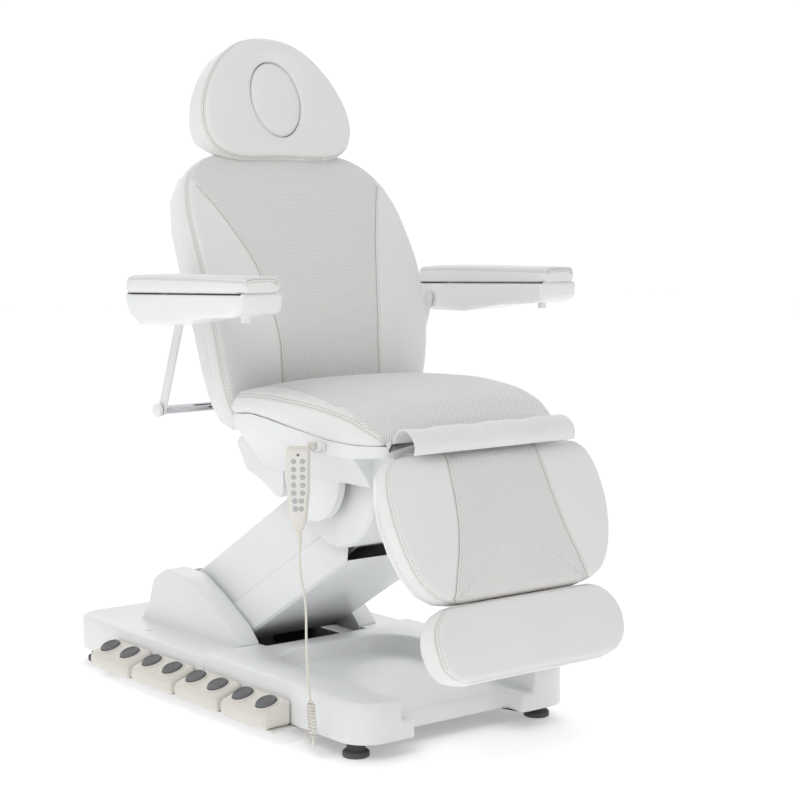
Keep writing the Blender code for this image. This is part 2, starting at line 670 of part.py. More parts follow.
def make_lower_arm():
    beam = None
    for side in (-1, 1):
        low, high = sorted((side * LOWER_BAR_IN, side * LOWER_BAR_OUT))
        bar = slab("lower_link", stadium(yz(LOW_BASE_PIN), yz(LOW_TOP_PIN), LINK_HALF), low, high)
        if beam is None:
            beam = put(bar, "lower_arm", "dark_steel")
        else:
            join(beam, "lower_arm", bar)
    for share in (0.22, 0.80):
        place = LOW_BASE_PIN.lerp(LOW_TOP_PIN, share)
        join(beam, "lower_arm", cross_bar("link_spacer", place, LOWER_BAR_IN + 0.004, 0.009, 16))
    cut(beam, "lower_arm", eye("lower_eye_low", LOW_BASE_PIN, PIN_R + PIN_GAP),
        eye("lower_eye_top", LOW_TOP_PIN, PIN_R + PIN_GAP))

    under, lip = 0.135, 0.2275
    outline = [(-0.035, lip, 0), (-0.035, under + 0.03, 0.0), (0.0, under, 0.03), (0.490, under, 0.01),
               (0.515, 0.168, 0.01), (0.560, 0.178, 0.01), (0.560, lip, 0)]
    outer = rounded([(*arm_point(s, n), r) for s, n, r in outline], 4)
    cover = slab("lower_arm_cover", outer, -ARM_HALF, ARM_HALF)
    put(cover, "lower_arm", "white_plastic")
    chamfer = cover.modifiers.new("edges", "BEVEL")
    chamfer.width = 0.006
    chamfer.segments = 1
    chamfer.limit_method = "ANGLE"
    chamfer.angle_limit = math.radians(60)
    weld = cover.modifiers.new("weld", "WELD")
    weld.merge_threshold = 0.00004
    inner = [arm_point(s, n) for s, n in ((-0.10, under + ARM_WALL), (0.60, under + ARM_WALL),
                                          (0.60, lip + 0.05), (-0.10, lip + 0.05))]
    cut(cover, "lower_arm", slab("lower_channel", inner, -ARM_HALF + ARM_WALL, ARM_HALF - ARM_WALL))


def make_actuator():
    crank_end = crank_place()
    line = (crank_end - MOTOR_PIN).normalized()
    body = cylinder("lift_actuator", MOTOR_PIN + 0.012 * line, MOTOR_PIN + TUBE_LONG * line, TUBE_R, 16)
    put(body, "actuator", "dark_steel")
    motor_at = MOTOR_PIN + 0.045 * line
    join(body, "actuator", slab("motor_eye", stadium(yz(MOTOR_PIN), yz(motor_at), 0.012), -0.018, 0.018),
         cylinder("gear_case", motor_at - Vector((0.010, 0, 0)), motor_at + Vector((0.075, 0, 0)), 0.019, 14),
         cylinder("motor", motor_at + Vector((0.068, -0.030, 0.0)), motor_at + Vector((0.068, 0.065, -0.010)),
                  0.021, 14))
    cut(body, "actuator", cross_bar("motor_bore", MOTOR_PIN, 0.03, 0.005 + PIN_GAP, 16),
        cylinder("rod_bore", MOTOR_PIN + 0.055 * line, crank_end, ROD_R + PIN_GAP, 14))

    rod = cylinder("lift_rod", MOTOR_PIN + 0.075 * line, crank_end - 0.032 * line, ROD_R, 14)
    put(rod, "rod", "chrome")
    for side in (-1, 1):
        low, high = sorted((side * (CRANK_HALF + 0.0025), side * (CRANK_HALF + 0.0085)))
        fork = stadium(yz(crank_end), yz(crank_end - 0.038 * line), 0.011)
        join(rod, "rod", slab("fork_ear", fork, low, high))
    join(rod, "rod", slab("fork_bridge", stadium(yz(crank_end - 0.030 * line), yz(crank_end - 0.040 * line),
                                                 0.0105), -CRANK_HALF - 0.0080, CRANK_HALF + 0.0080))


def make_carrier():
    plate = [(TOP_PIN.y + 0.022, TOP_PIN.z - 0.014), (SEAT_PIVOT.y + 0.026, SEAT_PIVOT.z + 0.010),
             (SEAT_PIVOT.y, SEAT_PIVOT.z + 0.026), (SEAT_PIVOT.y - 0.026, SEAT_PIVOT.z + 0.006),
             (LOW_TOP_PIN.y - 0.021, LOW_TOP_PIN.z + 0.010), (LOW_TOP_PIN.y - 0.010, LOW_TOP_PIN.z - 0.020),
             (LOW_TOP_PIN.y + 0.012, LOW_TOP_PIN.z - 0.018)]
    plate = rounded([(u, v, 0.012) for u, v in plate], 3)
    bracket = None
    for side in (-1, 1):
        low, high = sorted((side * LUG_IN, side * LUG_OUT))
        piece = slab("carrier_bracket", plate, low, high)
        if bracket is None:
            bracket = put(piece, "carrier", "dark_steel")
        else:
            join(bracket, "carrier", piece)
    join(bracket, "carrier", cross_bar("top_pin", TOP_PIN, LUG_IN + 0.002, PIN_R),
         cross_bar("low_top_pin", LOW_TOP_PIN, LUG_IN + 0.002, PIN_R),
         cross_bar("tilt_axle", SEAT_PIVOT, TILT_AXLE_HALF, TILT_AXLE_R, 18))

    edge = math.degrees(math.asin((KNUCKLE_TOP_Z - KNUCKLE_CENTRE[1]) / KNUCKLE_R))
    cover = slab("knuckle_cover", arc(KNUCKLE_CENTRE, KNUCKLE_R, 180 - edge, 360 + edge, 20),
                 -CHEEK_OUT, CHEEK_OUT)
    put(cover, "carrier", "white_plastic")
    soften(cover, 0.006)
    wall = CHEEK_OUT - CHEEK_IN
    hollow = (arc(KNUCKLE_CENTRE, KNUCKLE_R - wall, 182, 262, 12)
              + [(KNUCKLE_CENTRE[0] - 0.019, 0.30), (0.0, 0.30), (0.0, 0.70), (-0.55, 0.70), (-0.55, 0.60)])
    top_left = KNUCKLE_CENTRE[0] - (KNUCKLE_R - wall) * math.cos(math.radians(edge))
    hollow = (arc(KNUCKLE_CENTRE, KNUCKLE_R - wall, 180 - edge, 262, 14)
              + [(KNUCKLE_CENTRE[0] - 0.0186, 0.30), (0.0, 0.30), (0.0, 0.70), (top_left, 0.70)])
    cut(cover, "carrier", slab("knuckle_hollow", hollow, -CHEEK_IN, CHEEK_IN),
        cross_bar("axle_hole", SEAT_PIVOT, 0.3, TILT_AXLE_R + PIN_GAP, 18))


# ---------------------------------------------------------------- seat
def seat_line(lift=0.0):
    """The line on which the cushion meets its shell, from back to front, raised by lift."""
    knots = [(SEAT_BACK, 0.686), (-0.208, 0.695), (-0.281, 0.690), (-0.387, 0.674), (-0.469, 0.661),
             (-0.545, 0.656), (SEAT_FRONT, 0.658)]
    return [(y, z + lift) for y, z in knots]


def make_seat():
    plate_top = SEAT_ROOF_Z - GAP
    plate_low = plate_top - SEAT_PLATE_THICK
    plate = [(-0.165, -0.560), (0.165, -0.560), (0.165, -0.060), (-0.165, -0.060)]
    frame = slab("seat_frame", plate, plate_low, plate_top, PLAN)
    put(frame, "seat", "dark_steel")
    leg_hinge = on(LEG, LEG_HINGE_UP, LEG_HINGE_DEPTH)
    lug_top = plate_top - 0.0035
    tilt_lug = rounded([(-0.230, lug_top, 0), (-0.120, lug_top, 0.0), (-0.120, plate_low - 0.006, 0.0),
                        (-0.250, plate_low - 0.012, 0.02), (SEAT_PIVOT.y + 0.026, SEAT_PIVOT.z, 0.02),
                        (SEAT_PIVOT.y, SEAT_PIVOT.z - 0.030, 0.02), (SEAT_PIVOT.y - 0.030, SEAT_PIVOT.z, 0.02),
                        (-0.370, plate_low - 0.010, 0.02), (-0.430, plate_low - 0.004, 0), (-0.430, lug_top, 0)], 3)
    front_lug = stadium((-0.552, plate_top - 0.0105), yz(leg_hinge), 0.0070)
    for side in (-1, 1):
        low, high = sorted((side * SEAT_LUG_IN, side * SEAT_LUG_OUT))
        elbow = (BACK_HINGE.y - 0.005, BACK_HINGE.z - 0.031)
        join(frame, "seat", slab("tilt_lug", tilt_lug, low, high),
             slab("rear_lug", stadium((-0.140, plate_low - 0.001), elbow, 0.0075), low, high),
             slab("recline_lug", stadium(elbow, yz(BACK_HINGE), 0.0125), low, high))
        low, high = sorted((side * 0.158, side * (SEAT_LUG_IN + 0.002)))
        join(frame, "seat", slab("lug_rib", [(-0.415, plate_low - 0.002), (-0.10, plate_low - 0.002),
                                             (-0.10, plate_top - 0.0018), (-0.415, plate_top - 0.0018)],
                                 low, high))
        low, high = sorted((side * 0.100, side * 0.107))
        join(frame, "seat", slab("leg_lug", front_lug, low, high))
    join(frame, "seat", cross_bar("recline_pin", BACK_HINGE, SEAT_LUG_IN + 0.002, BACK_PIN_R),
         cross_bar("leg_pin", leg_hinge, 0.134, LEG_PIN_R, 16))
    cut(frame, "seat", cross_bar("tilt_bore", SEAT_PIVOT, 0.3, TILT_AXLE_R + PIN_GAP, 18))

    make_seat_shell()
    make_seat_cushion()
    make_leg_flap()
    make_hook()


def seat_plan(half, back, front):
    return rounded([(-half + 0.012, back, 0.02), (-half, -0.300, 0.30), (-half + 0.030, -0.520, 0.20),
                    (-half + 0.070, front, 0.035), (half - 0.070, front, 0.035), (half - 0.030, -0.520, 0.20),
                    (half, -0.300, 0.30), (half - 0.012, back, 0.02)], 4)


def make_seat_shell():
    top = seat_line()
    rim = top + [(SEAT_FRONT, 0.634), (-0.540, 0.628), (-0.440, 0.632), (-0.330, 0.652), (-0.215, 0.664),
                 (SEAT_BACK, 0.656)]
    shell = slab("seat_shell", rim, -0.34, 0.34)
    put(shell, "seat", "white_plastic")
    for top_z, front, back in ((0.652, -0.530, -0.290), (0.667, -0.330, -0.137)):
        flank = [(0.5615, SHELL_BODY_HALF - 0.01), (top_z, SHELL_BODY_HALF - 0.01),
                 (top_z, 0.270 + 0.8 * (top_z - 0.640)), (0.640, 0.270), (0.600, 0.236),
                 (0.5615, SHELL_BODY_HALF + 0.004)]
        for side in (-1, 1):
            outline = [(z, side * x) for z, x in flank]
            join(shell, "seat", slab("shell_flank", outline, front, back, END))
    keep(shell, "seat", slab("shell_plan", seat_plan(SEAT_HALF, SEAT_BACK, SEAT_FRONT), 0.50, 0.80, PLAN))
    body = rounded([(-0.034, 0.620, 0.006), (-0.022, 0.606, 0.01), (-0.060, 0.548, 0.03), (-0.120, 0.530, 0.03),
                    (-0.205, 0.486, 0.02), (-0.205, 0.560, 0), (-0.430, 0.560, 0.02), (-0.545, 0.578, 0.03),
                    (SEAT_FRONT + 0.012, 0.610, 0.02), (SEAT_FRONT + 0.010, 0.645, 0), (-0.4, 0.650, 0),
                    (-0.2, 0.672, 0), (-0.132, 0.660, 0), (-0.120, 0.646, 0)], 3)
    ear = arc(yz(SEAT_PIVOT), EAR_R, 0, 360, 30)[:-1]
    join(shell, "seat", slab("shell_body", body, -SHELL_BODY_HALF, SHELL_BODY_HALF))
    join(shell, "seat", slab("shell_ears", ear, -SHELL_BODY_HALF + 0.001, SHELL_BODY_HALF - 0.001))
    roof = rounded([(0.03, 0.40, 0), (0.03, 0.600, 0), (-0.030, 0.600, 0), (-0.030, SEAT_ROOF_Z, 0),
                    (SEAT_FRONT - 0.05, SEAT_ROOF_Z, 0), (SEAT_FRONT - 0.05, 0.40, 0)])
    cut(shell, "seat", slab("shell_hollow", roof, -SHELL_INSIDE, SHELL_INSIDE))
    for side in (-1, 1):
        outline = [(0.580, side * 0.180), (0.634, side * 0.180), (0.634, side * 0.250), (0.606, side * 0.232),
                   (0.580, side * 0.208)]
        cut(shell, "seat", slab("flank_room", outline, -0.500, -0.165, END))
    arm_room = [(-0.110, 0.590), (0.010, 0.590), (0.010, 0.700), (-0.110, 0.700)]
    front_room = [(-0.550, 0.600), (-0.700, 0.600), (-0.700, 0.6530), (-0.550, 0.6530)]
    cut(shell, "seat", slab("back_arm_room", arm_room, -SHELL_INSIDE, SHELL_INSIDE),
        slab("leg_hinge_room", front_room, -0.138, 0.138))


def make_seat_cushion():
    low = seat_line(GAP)
    top = [(SEAT_FRONT, 0.672, 0.01), (-0.590, 0.700, 0.05), (-0.530, 0.736, 0.10), (-0.420, 0.757, 0.2),
           (-0.280, 0.765, 0.2), (-0.160, 0.757, 0.10), (SEAT_BACK + 0.012, 0.742, 0.02),
           (SEAT_BACK, 0.716, 0.02)]
    outline = low + rounded([(*low[-1], 0)] + top + [(*low[0], 0)], 2)[1:-1]
    cushion = slab("seat_cushion", outline, -0.34, 0.34)
    put(cushion, "seat", "white_vinyl")
    keep(cushion, "seat", slab("cushion_plan", seat_plan(SEAT_HALF, SEAT_BACK, SEAT_FRONT), 0.60, 0.85, PLAN))
    soften(cushion, 0.010, 1, 40)


def make_leg_flap():
    """The vinyl strip that bridges the gap between the seat and the leg rest, as far as it stays put."""
    centre = [(-0.6160, 0.668), (-0.620, 0.684), (-0.631, 0.697), (-0.647, 0.7035)]
    line = smooth_line([(0, y, z) for y, z in centre], 7)
    outline = thick_line([yz(p) for p in line], 0.0015)
    flap = slab("leg_flap", outline, -0.232, 0.232)
    put(flap, "seat", "white_vinyl")


def thick_line(points, half):
    """The outline of a strip of even thickness along a line."""
    left, right = [], []
    for i, point in enumerate(points):
        ahead = Vector(points[min(i + 1, len(points) - 1)])
        behind = Vector(points[max(i - 1, 0)])
        aside = (ahead - behind).normalized().orthogonal() * half
        left.append(tuple(Vector(point) + aside))
        right.append(tuple(Vector(point) - aside))
    return left + right[::-1]


def make_hook():
    """The bent strip under the seat rim that the handset hangs from."""
    x = HOOK_X
    line = [(0.6550, x + 0.0240), (0.6420, x + 0.0235), (0.6370, x + 0.0190), (0.6370, x + 0.0060),
            (0.6400, x), (0.6550, x)]
    hook = slab("handset_hook", thick_line(line, 0.0012), HOOK_Y - 0.006, HOOK_Y + 0.006, END)
    put(hook, "seat", "white_steel")


# ---------------------------------------------------------------- back
def back_face():
    return [(-0.030, 0.016), (0.010, 0.004), (0.050, -0.008), (0.120, -0.028), (0.200, -0.042), (0.300, -0.045),
            (0.400, -0.032), (0.500, -0.012), (0.560, 0.010), (0.596, 0.036), (0.617, 0.064)]


def back_joint():
    """The line between the back cushion and its shell."""
    return [(0.606, 0.072), (0.560, 0.062), (0.500, 0.052), (0.420, 0.044), (0.300, 0.030), (0.200, 0.028),
            (0.100, 0.042), (0.000, 0.058), (-0.032, 0.060)]


def back_rear():
    return [(-0.032, 0.094), (0.000, 0.096), (0.100, 0.080), (0.200, 0.066), (0.300, 0.068), (0.420, 0.082),
            (0.500, 0.090), (0.560, 0.092), (0.598, 0.086)]


def back_plan(inset=0.0):
    half = [(0.0, 0.617), (0.120, 0.616), (0.200, 0.602), (0.252, 0.568), (0.286, 0.515), (0.303, 0.440),
            (0.309, 0.330), (0.308, 0.220), (0.296, 0.100), (0.280, 0.030), (0.262, -0.010), (0.235, -0.032),
            (0.0, -0.032)]
    grown = []
    for x, up in half:
        grown.append((max(x - inset, 0.0) if x else 0.0, up - inset if up > 0.3 else up + inset))
    return mirrored(grown)


def make_back():
    side = side_of(BACK)
    cushion_outline = back_face() + [(u, t - GAP) for u, t in back_joint()]
    cushion = slab("back_cushion", cushion_outline, -0.33, 0.33, side)
    put(cushion, "backrest", "white_vinyl")
    keep(cushion, "backrest", slab("back_plan", back_plan(), -0.20, 0.20, BACK))
    soften(cushion, 0.010, 1, 50)
    for sign in (-1, 1):
        cut(cushion, "backrest", cylinder("post_channel", on(BACK, 0.48, HEAD_POST_DEPTH, sign * HEAD_POST_X),
                                          on(BACK, 0.68, HEAD_POST_DEPTH, sign * HEAD_POST_X), 0.0125, 12))

    shell_outline = [(u, t) for u, t in back_joint()] + back_rear()
    shell = slab("back_shell", shell_outline, -0.33, 0.33, side)
    put(shell, "backrest", "white_plastic")
    keep(shell, "backrest", slab("shell_plan_back", back_plan(0.003), -0.20, 0.20, BACK))
    soften(shell, 0.010, 1, 50)
    room = [(-0.06, 0.02), (0.13, 0.02), (0.30, 0.00), (0.66, 0.00), (0.66, 0.0795), (0.56, 0.0795),
            (0.50, 0.082), (0.42, 0.075), (0.30, 0.061), (0.20, 0.060), (0.13, 0.16), (-0.06, 0.16)]
    hinge_room = [(-0.060, 0.064), (0.050, 0.064), (0.050, 0.160), (-0.060, 0.160)]
    cut(shell, "backrest", slab("frame_room", room, -0.168, 0.168, side),
        slab("hinge_room", hinge_room, -SEAT_LUG_OUT - 0.004, SEAT_LUG_OUT + 0.004, side))

    hinge = (0.0, BACK_FACE)
    frame = None
    bar = [(-0.014, 0.100), (-0.010, 0.082), (0.010, 0.079), (0.060, 0.068), (0.190, 0.036), (0.380, 0.0440),
           (0.400, 0.0460), (0.400, 0.058), (0.380, 0.058), (0.210, 0.050), (0.100, 0.076), (0.020, 0.103),
           (0.0, 0.107)]
    for sign in (-1, 1):
        low, high = sorted((sign * BACK_BAR_IN, sign * BACK_BAR_OUT))
        piece = slab("back_frame", bar, low, high, side)
        if frame is None:
            frame = put(piece, "backrest", "dark_steel")
        else:
            join(frame, "backrest", piece)
        join(frame, "backrest", slab("tube_arm", stadium(hinge, tube_in_back(), 0.013), low, high, side))
    join(frame, "backrest",
         slab("back_cross", [(0.360, 0.0465), (0.400, 0.0475), (0.400, 0.0570), (0.360, 0.0560)],
              -BACK_BAR_IN - 0.004, BACK_BAR_IN + 0.004, side),
         slab("back_cross_low", [(0.200, 0.0365), (0.225, 0.0370), (0.225, 0.0480), (0.200, 0.0475)],
              -BACK_BAR_IN - 0.004, BACK_BAR_IN + 0.004, side),
         slab("guide_column", [(0.385, 0.0480), (0.530, 0.0585), (0.530, 0.0660), (0.385, 0.0555)],
              -0.040, 0.040, side),
         slab("post_guide", [(0.500, 0.0570), (0.525, 0.0570), (0.525, 0.0785), (0.500, 0.0785)],
              -0.078, 0.078, side))
    cut(frame, "backrest", cross_bar("recline_bore", BACK_HINGE, 0.3, BACK_PIN_R + PIN_GAP),
        cross_bar("tube_bore", TUBE_PIN, 0.3, CROSS_R + GAP))
    for sign in (-1, 1):
        low_end = on(BACK, 0.47, HEAD_POST_DEPTH, sign * HEAD_POST_X)
        high_end = on(BACK, 0.56, HEAD_POST_DEPTH, sign * HEAD_POST_X)
        cut(frame, "backrest", cylinder("guide_bore", low_end, high_end, HEAD_POST_R + PIN_GAP))

    tube = cross_bar("cross_tube", TUBE_PIN, CROSS_HALF, CROSS_R, 18)
    put(tube, "backrest", "chrome")


def tube_in_back():
    """The cross tube's axis as (up, depth) in the back's own frame."""
    local = BACK.inverted() @ TUBE_PIN
    return (local.y, -local.z)


# ---------------------------------------------------------------- arm rests
def make_arm_rests():
    for name, side in (("right", -1), ("left", 1)):
        make_post(name, side)
        make_rest(name, side)


def make_post(name, side):
    body = "post_" + name
    low, high = sorted((side * POST_IN, side * POST_OUT))
    start = TUBE_PIN
    bar = slab("arm_post_" + name, stadium(yz(start), yz(ARM_PIVOT), POST_WIDE / 2), low, high)
    put(bar, body, "white_steel")
    pin = cylinder("arm_pin", ARM_PIVOT + Vector((side * POST_IN, 0, 0)),
                   ARM_PIVOT + Vector((side * (REST_IN + 0.018), 0, 0)), ARM_PIN_R)
    join(bar, body, pin)
    cut(bar, body, cross_bar("post_bore", TUBE_PIN, 0.4, CROSS_R + PIN_GAP, 18))

    inner = side * (POST_OUT + 0.0015)
    outer = side * (POST_OUT + 0.0015 + KNOB_LONG)
    knob = cylinder("tube_knob_" + name, TUBE_PIN + Vector((inner, 0, 0)), TUBE_PIN + Vector((outer, 0, 0)),
                    KNOB_R, 18)
    put(knob, "backrest", "white_plastic")
    soften(knob, 0.004, 1)
    cut(knob, "backrest", cylinder("knob_bore", TUBE_PIN + Vector((inner - side * 0.01, 0, 0)),
                                   TUBE_PIN + Vector((side * (CROSS_HALF + GAP), 0, 0)), CROSS_R + GAP, 18))


def rest_low_line():
    return [(REST_BACK - 0.004, 0.936), (REST_BACK - 0.022, 0.905), (-0.030, 0.888), (-0.145, 0.890),
            (-0.284, 0.912), (-0.390, 0.919), (REST_FRONT + 0.004, 0.930)]


def make_rest(name, side):
    body = "arm_" + name
    low, high = sorted((side * REST_IN, side * REST_OUT))
    split = [(REST_FRONT, 0.9700), (REST_BACK, 0.9540)]
    outline = [split[0], split[1]] + rest_low_line()
    shell = slab("arm_shell_" + name, outline, low, high)
    put(shell, body, "white_plastic")
    soften(shell, 0.008, 1, 35)
    wall = 0.004
    hollow = [(REST_FRONT + wall, 1.0), (REST_BACK - wall, 1.0), (REST_BACK - 0.010, 0.936),
              (REST_BACK - 0.026, 0.911), (-0.032, 0.893), (-0.145, 0.895), (-0.284, 0.917), (-0.390, 0.924),
              (REST_FRONT + 0.010, 0.934)]
    cut(shell, body, slab("shell_room", hollow, low + wall, high - wall),
        cylinder("pin_hole", ARM_PIVOT + Vector((side * (REST_IN - 0.01), 0, 0)),
                 ARM_PIVOT + Vector((side * (REST_IN + 0.02), 0, 0)), ARM_PIN_R + PIN_GAP))
    knob_top = Vector((side * 0.413, -0.372, 0.9195))
    join(shell, body, cylinder("stop_knob", knob_top + Vector((0, 0, 0.004)), knob_top - Vector((0, 0, 0.014)),
                               0.010, 20))
    pad_top = [(REST_BACK - 0.002, 0.972, 0.012), (REST_BACK - 0.018, 0.991, 0.02), (-0.200, 0.999, 0.3),
               (REST_FRONT + 0.018, 1.003, 0.02), (REST_FRONT, 0.990, 0.012)]
    pad_outline = rounded([(REST_FRONT, 0.9700 + GAP, 0), (REST_BACK, 0.9540 + GAP, 0)] + pad_top, 3)
    pad = slab("arm_pad_" + name, pad_outline, low, high)
    put(pad, body, "white_vinyl")
    soften(pad, 0.006, 1, 50)


# ---------------------------------------------------------------- head
def head_plan(inset=0.0):
    half = [(0.0, 0.0), (0.120, 0.0), (0.168, 0.010), (0.196, 0.036), (0.206, 0.070), (0.203, 0.110),
            (0.187, 0.152), (0.160, 0.199), (0.118, 0.243), (0.072, 0.268), (0.0, 0.278)]
    return mirrored(half)


def oval(half_wide, half_tall, steps=28):
    angles = [math.tau * i / steps for i in range(steps)]
    return [(half_wide * math.cos(a), HOLE_UP + half_tall * math.sin(a)) for a in angles]


def make_head():
    side = side_of(HEAD)
    hinge = HEAD.inverted() @ head_hinge()
    profile = [(0.0, 0.0), (0.278, 0.0), (0.278, HEAD_THICK - 0.012), (0.262, HEAD_THICK), (0.050, HEAD_THICK),
               (0.0, 0.030)]
    cushion = slab("head_cushion", profile, -0.22, 0.22, side)
    put(cushion, "head", "white_vinyl")
    keep(cushion, "head", slab("head_plan", head_plan(), -0.20, 0.20, HEAD))
    soften(cushion, 0.010, 1, 50)
    cut(cushion, "head", slab("face_hole", oval(HOLE_HALF_WIDE, HOLE_HALF_TALL), -0.20, 0.20, HEAD))

    plug = slab("face_plug", oval(HOLE_HALF_WIDE - PLUG_GAP, HOLE_HALF_TALL - PLUG_GAP),
                -HEAD_THICK + 0.004, 0.004, HEAD)
    put(plug, "plug", "white_vinyl")
    soften(plug, 0.006, 1, 50)

    plate_front = HEAD_THICK + GAP
    plate = slab("head_plate", [(-0.140, 0.052), (-0.140, 0.110), (-0.082, 0.110), (-0.082, 0.052),
                                (0.082, 0.052), (0.082, 0.110), (0.140, 0.110), (0.140, 0.052)][::-1],
                 -plate_front - 0.006, -plate_front, HEAD)
    strip = slab("head_strip", rounded([(-0.140, 0.0515, 0.0), (0.140, 0.0515, 0), (0.140, 0.062, 0),
                                        (-0.140, 0.062, 0)]), -plate_front - 0.006, -plate_front, HEAD)
    bpy.data.objects.remove(plate)
    plate = strip
    plate.name = "head_plate"
    put(plate, "head", "dark_steel")
    for sign in (-1, 1):
        low, high = sorted((sign * 0.100, sign * 0.140))
        join(plate, "head", slab("plate_wing", [(low, 0.0515), (high, 0.0515), (high, 0.115), (low, 0.115)],
                                 -plate_front - 0.006, -plate_front, HEAD))
        low, high = sorted((sign * 0.101, sign * 0.109))
        ear = stadium((hinge.y, -hinge.z), (0.070, plate_front + 0.001), 0.016)
        join(plate, "head", keep_behind(ear, plate_front, low, high, side))
    cut(plate, "head", cross_bar("head_bore", head_hinge(), 0.3, 0.010 + PIN_GAP))

    posts = cross_bar("head_posts", head_hinge(), 0.112, 0.010)
    put(posts, "head_slide", "chrome")
    for sign in (-1, 1):
        top = on(BACK, HEAD_POST_TOP, HEAD_POST_DEPTH, sign * HEAD_POST_X)
        bottom = on(BACK, HEAD_POST_LOW, HEAD_POST_DEPTH, sign * HEAD_POST_X)
        join(posts, "head_slide", cylinder("post", bottom, top, HEAD_POST_R))
        low, high = sorted((sign * (HEAD_POST_X - 0.006), sign * (HEAD_POST_X + 0.006)))
        join(posts, "head_slide", slab("post_arm", stadium((HEAD_POST_TOP, HEAD_POST_DEPTH),
                                                           (HEAD_HINGE_UP, HEAD_HINGE_DEPTH), 0.0085),
                                       low, high, side_of(BACK)))


def keep_behind(outline, front, low, high, frame):
    """A slab without the part of its outline that is in front of a depth."""
    return slab("head_ear", [(u, max(t, front + 0.001)) for u, t in outline], low, high, frame)


def head_hinge():
    return on(BACK, HEAD_HINGE_UP, HEAD_HINGE_DEPTH)


# ---------------------------------------------------------------- leg and foot
def leg_plan():
    half = [(0.0, 0.0), (0.215, 0.0), (0.252, 0.010), (0.277, 0.035), (0.290, 0.080), (0.292, 0.130),
            (0.284, 0.190), (0.266, 0.245), (0.240, 0.283), (0.205, 0.304), (0.160, 0.312), (0.0, 0.314)]
    return mirrored(half)


def make_leg():
    side = side_of(LEG)
    profile = rounded([(0.0, 0.012, 0.01), (0.0, LEG_PAD, 0), (0.314, LEG_PAD, 0), (0.314, 0.012, 0.01),
                       (0.290, -0.004, 0.02), (0.160, -0.008, 0.2), (0.025, -0.002, 0.02)], 3)
    cushion = slab("leg_cushion", profile, -0.31, 0.31, side)
    put(cushion, "legrest", "white_vinyl")
    keep(cushion, "legrest", slab("leg_plan", leg_plan(), -0.20, 0.20, LEG))
    soften(cushion, 0.008, 1, 50)

    front = LEG_PAD + GAP
    back = front + LEG_BOARD
    board = slab("leg_shell", [(u, v) for u, v in leg_plan()], -back, -front, LEG)
    put(board, "legrest", "white_plastic")
    soften(board, 0.005, 1, 50)
    hinge = (LEG_HINGE_UP, LEG_HINGE_DEPTH)
    ear = [(LEG_HINGE_UP - 0.006, LEG_HINGE_DEPTH + 0.002), (LEG_HINGE_UP - 0.003, back + 0.002),
           (0.030, back + 0.012), (0.120, back + 0.010), (0.120, back - 0.003), (0.010, back - 0.003),
           (-0.0015, back - 0.010), (-0.0015, LEG_HINGE_DEPTH + 0.002)]
    for sign in (-1, 1):
        low, high = sorted((sign * 0.118, sign * 0.128))
        join(board, "legrest", slab("leg_ear", ear, low, high, side),
             slab("leg_eye", stadium(hinge, (LEG_HINGE_UP, LEG_HINGE_DEPTH + 0.004), 0.0088, 6),
                  low, high, side))
        for up in (0.175, 0.285):
            low, high = sorted((sign * (RAIL_X - 0.012), sign * (RAIL_X + 0.012)))
            join(board, "legrest", slab("rail_guide", [(up - 0.010, back - 0.003), (up - 0.010, RAIL_DEPTH + 0.009),
                                                       (up + 0.010, RAIL_DEPTH + 0.009), (up + 0.010, back - 0.003)],
                                        low, high, side))
    for sign in (-1, 1):
        start = on(LEG, 0.10, RAIL_DEPTH, sign * RAIL_X)
        end = on(LEG, 0.34, RAIL_DEPTH, sign * RAIL_X)
        cut(board, "legrest", cylinder("rail_bore", start, end, RAIL_R + PIN_GAP))
    cut(board, "legrest", cross_bar("leg_bore", on(LEG, *hinge), 0.3, LEG_PIN_R + PIN_GAP, 16))

    foot_plan = rounded([(-0.250, 0.3250, 0.070), (-0.236, 0.474, 0.080), (0.236, 0.474, 0.080),
                         (0.250, 0.3250, 0.070)], 6)
    pad = slab("foot_cushion", foot_plan, -FOOT_PAD_THICK, 0.006, LEG)
    put(pad, "footrest", "white_vinyl")
    soften(pad, 0.014, 2, 50)
    plate_front = FOOT_PAD_THICK + GAP
    rails = slab("foot_rails", rounded([(-0.115, 0.345, 0.01), (-0.115, 0.450, 0.01), (0.115, 0.450, 0.01),
                                        (0.115, 0.345, 0.01)], 3), -plate_front - 0.012, -plate_front, LEG)
    put(rails, "footrest", "dark_steel")
    for sign in (-1, 1):
        start = on(LEG, 0.130, RAIL_DEPTH, sign * RAIL_X)
        end = on(LEG, 0.440, RAIL_DEPTH, sign * RAIL_X)
        join(rails, "footrest", cylinder("rail", start, end, RAIL_R))


# ---------------------------------------------------------------- handset and cord
HANDSET = (Matrix.Translation(HANDSET_TOP) @ Matrix.Rotation(HANDSET_TURN, 4, "Z")
           @ frame_of((0, 0, 0), (1, 0, 0), (0, 0, 1)))


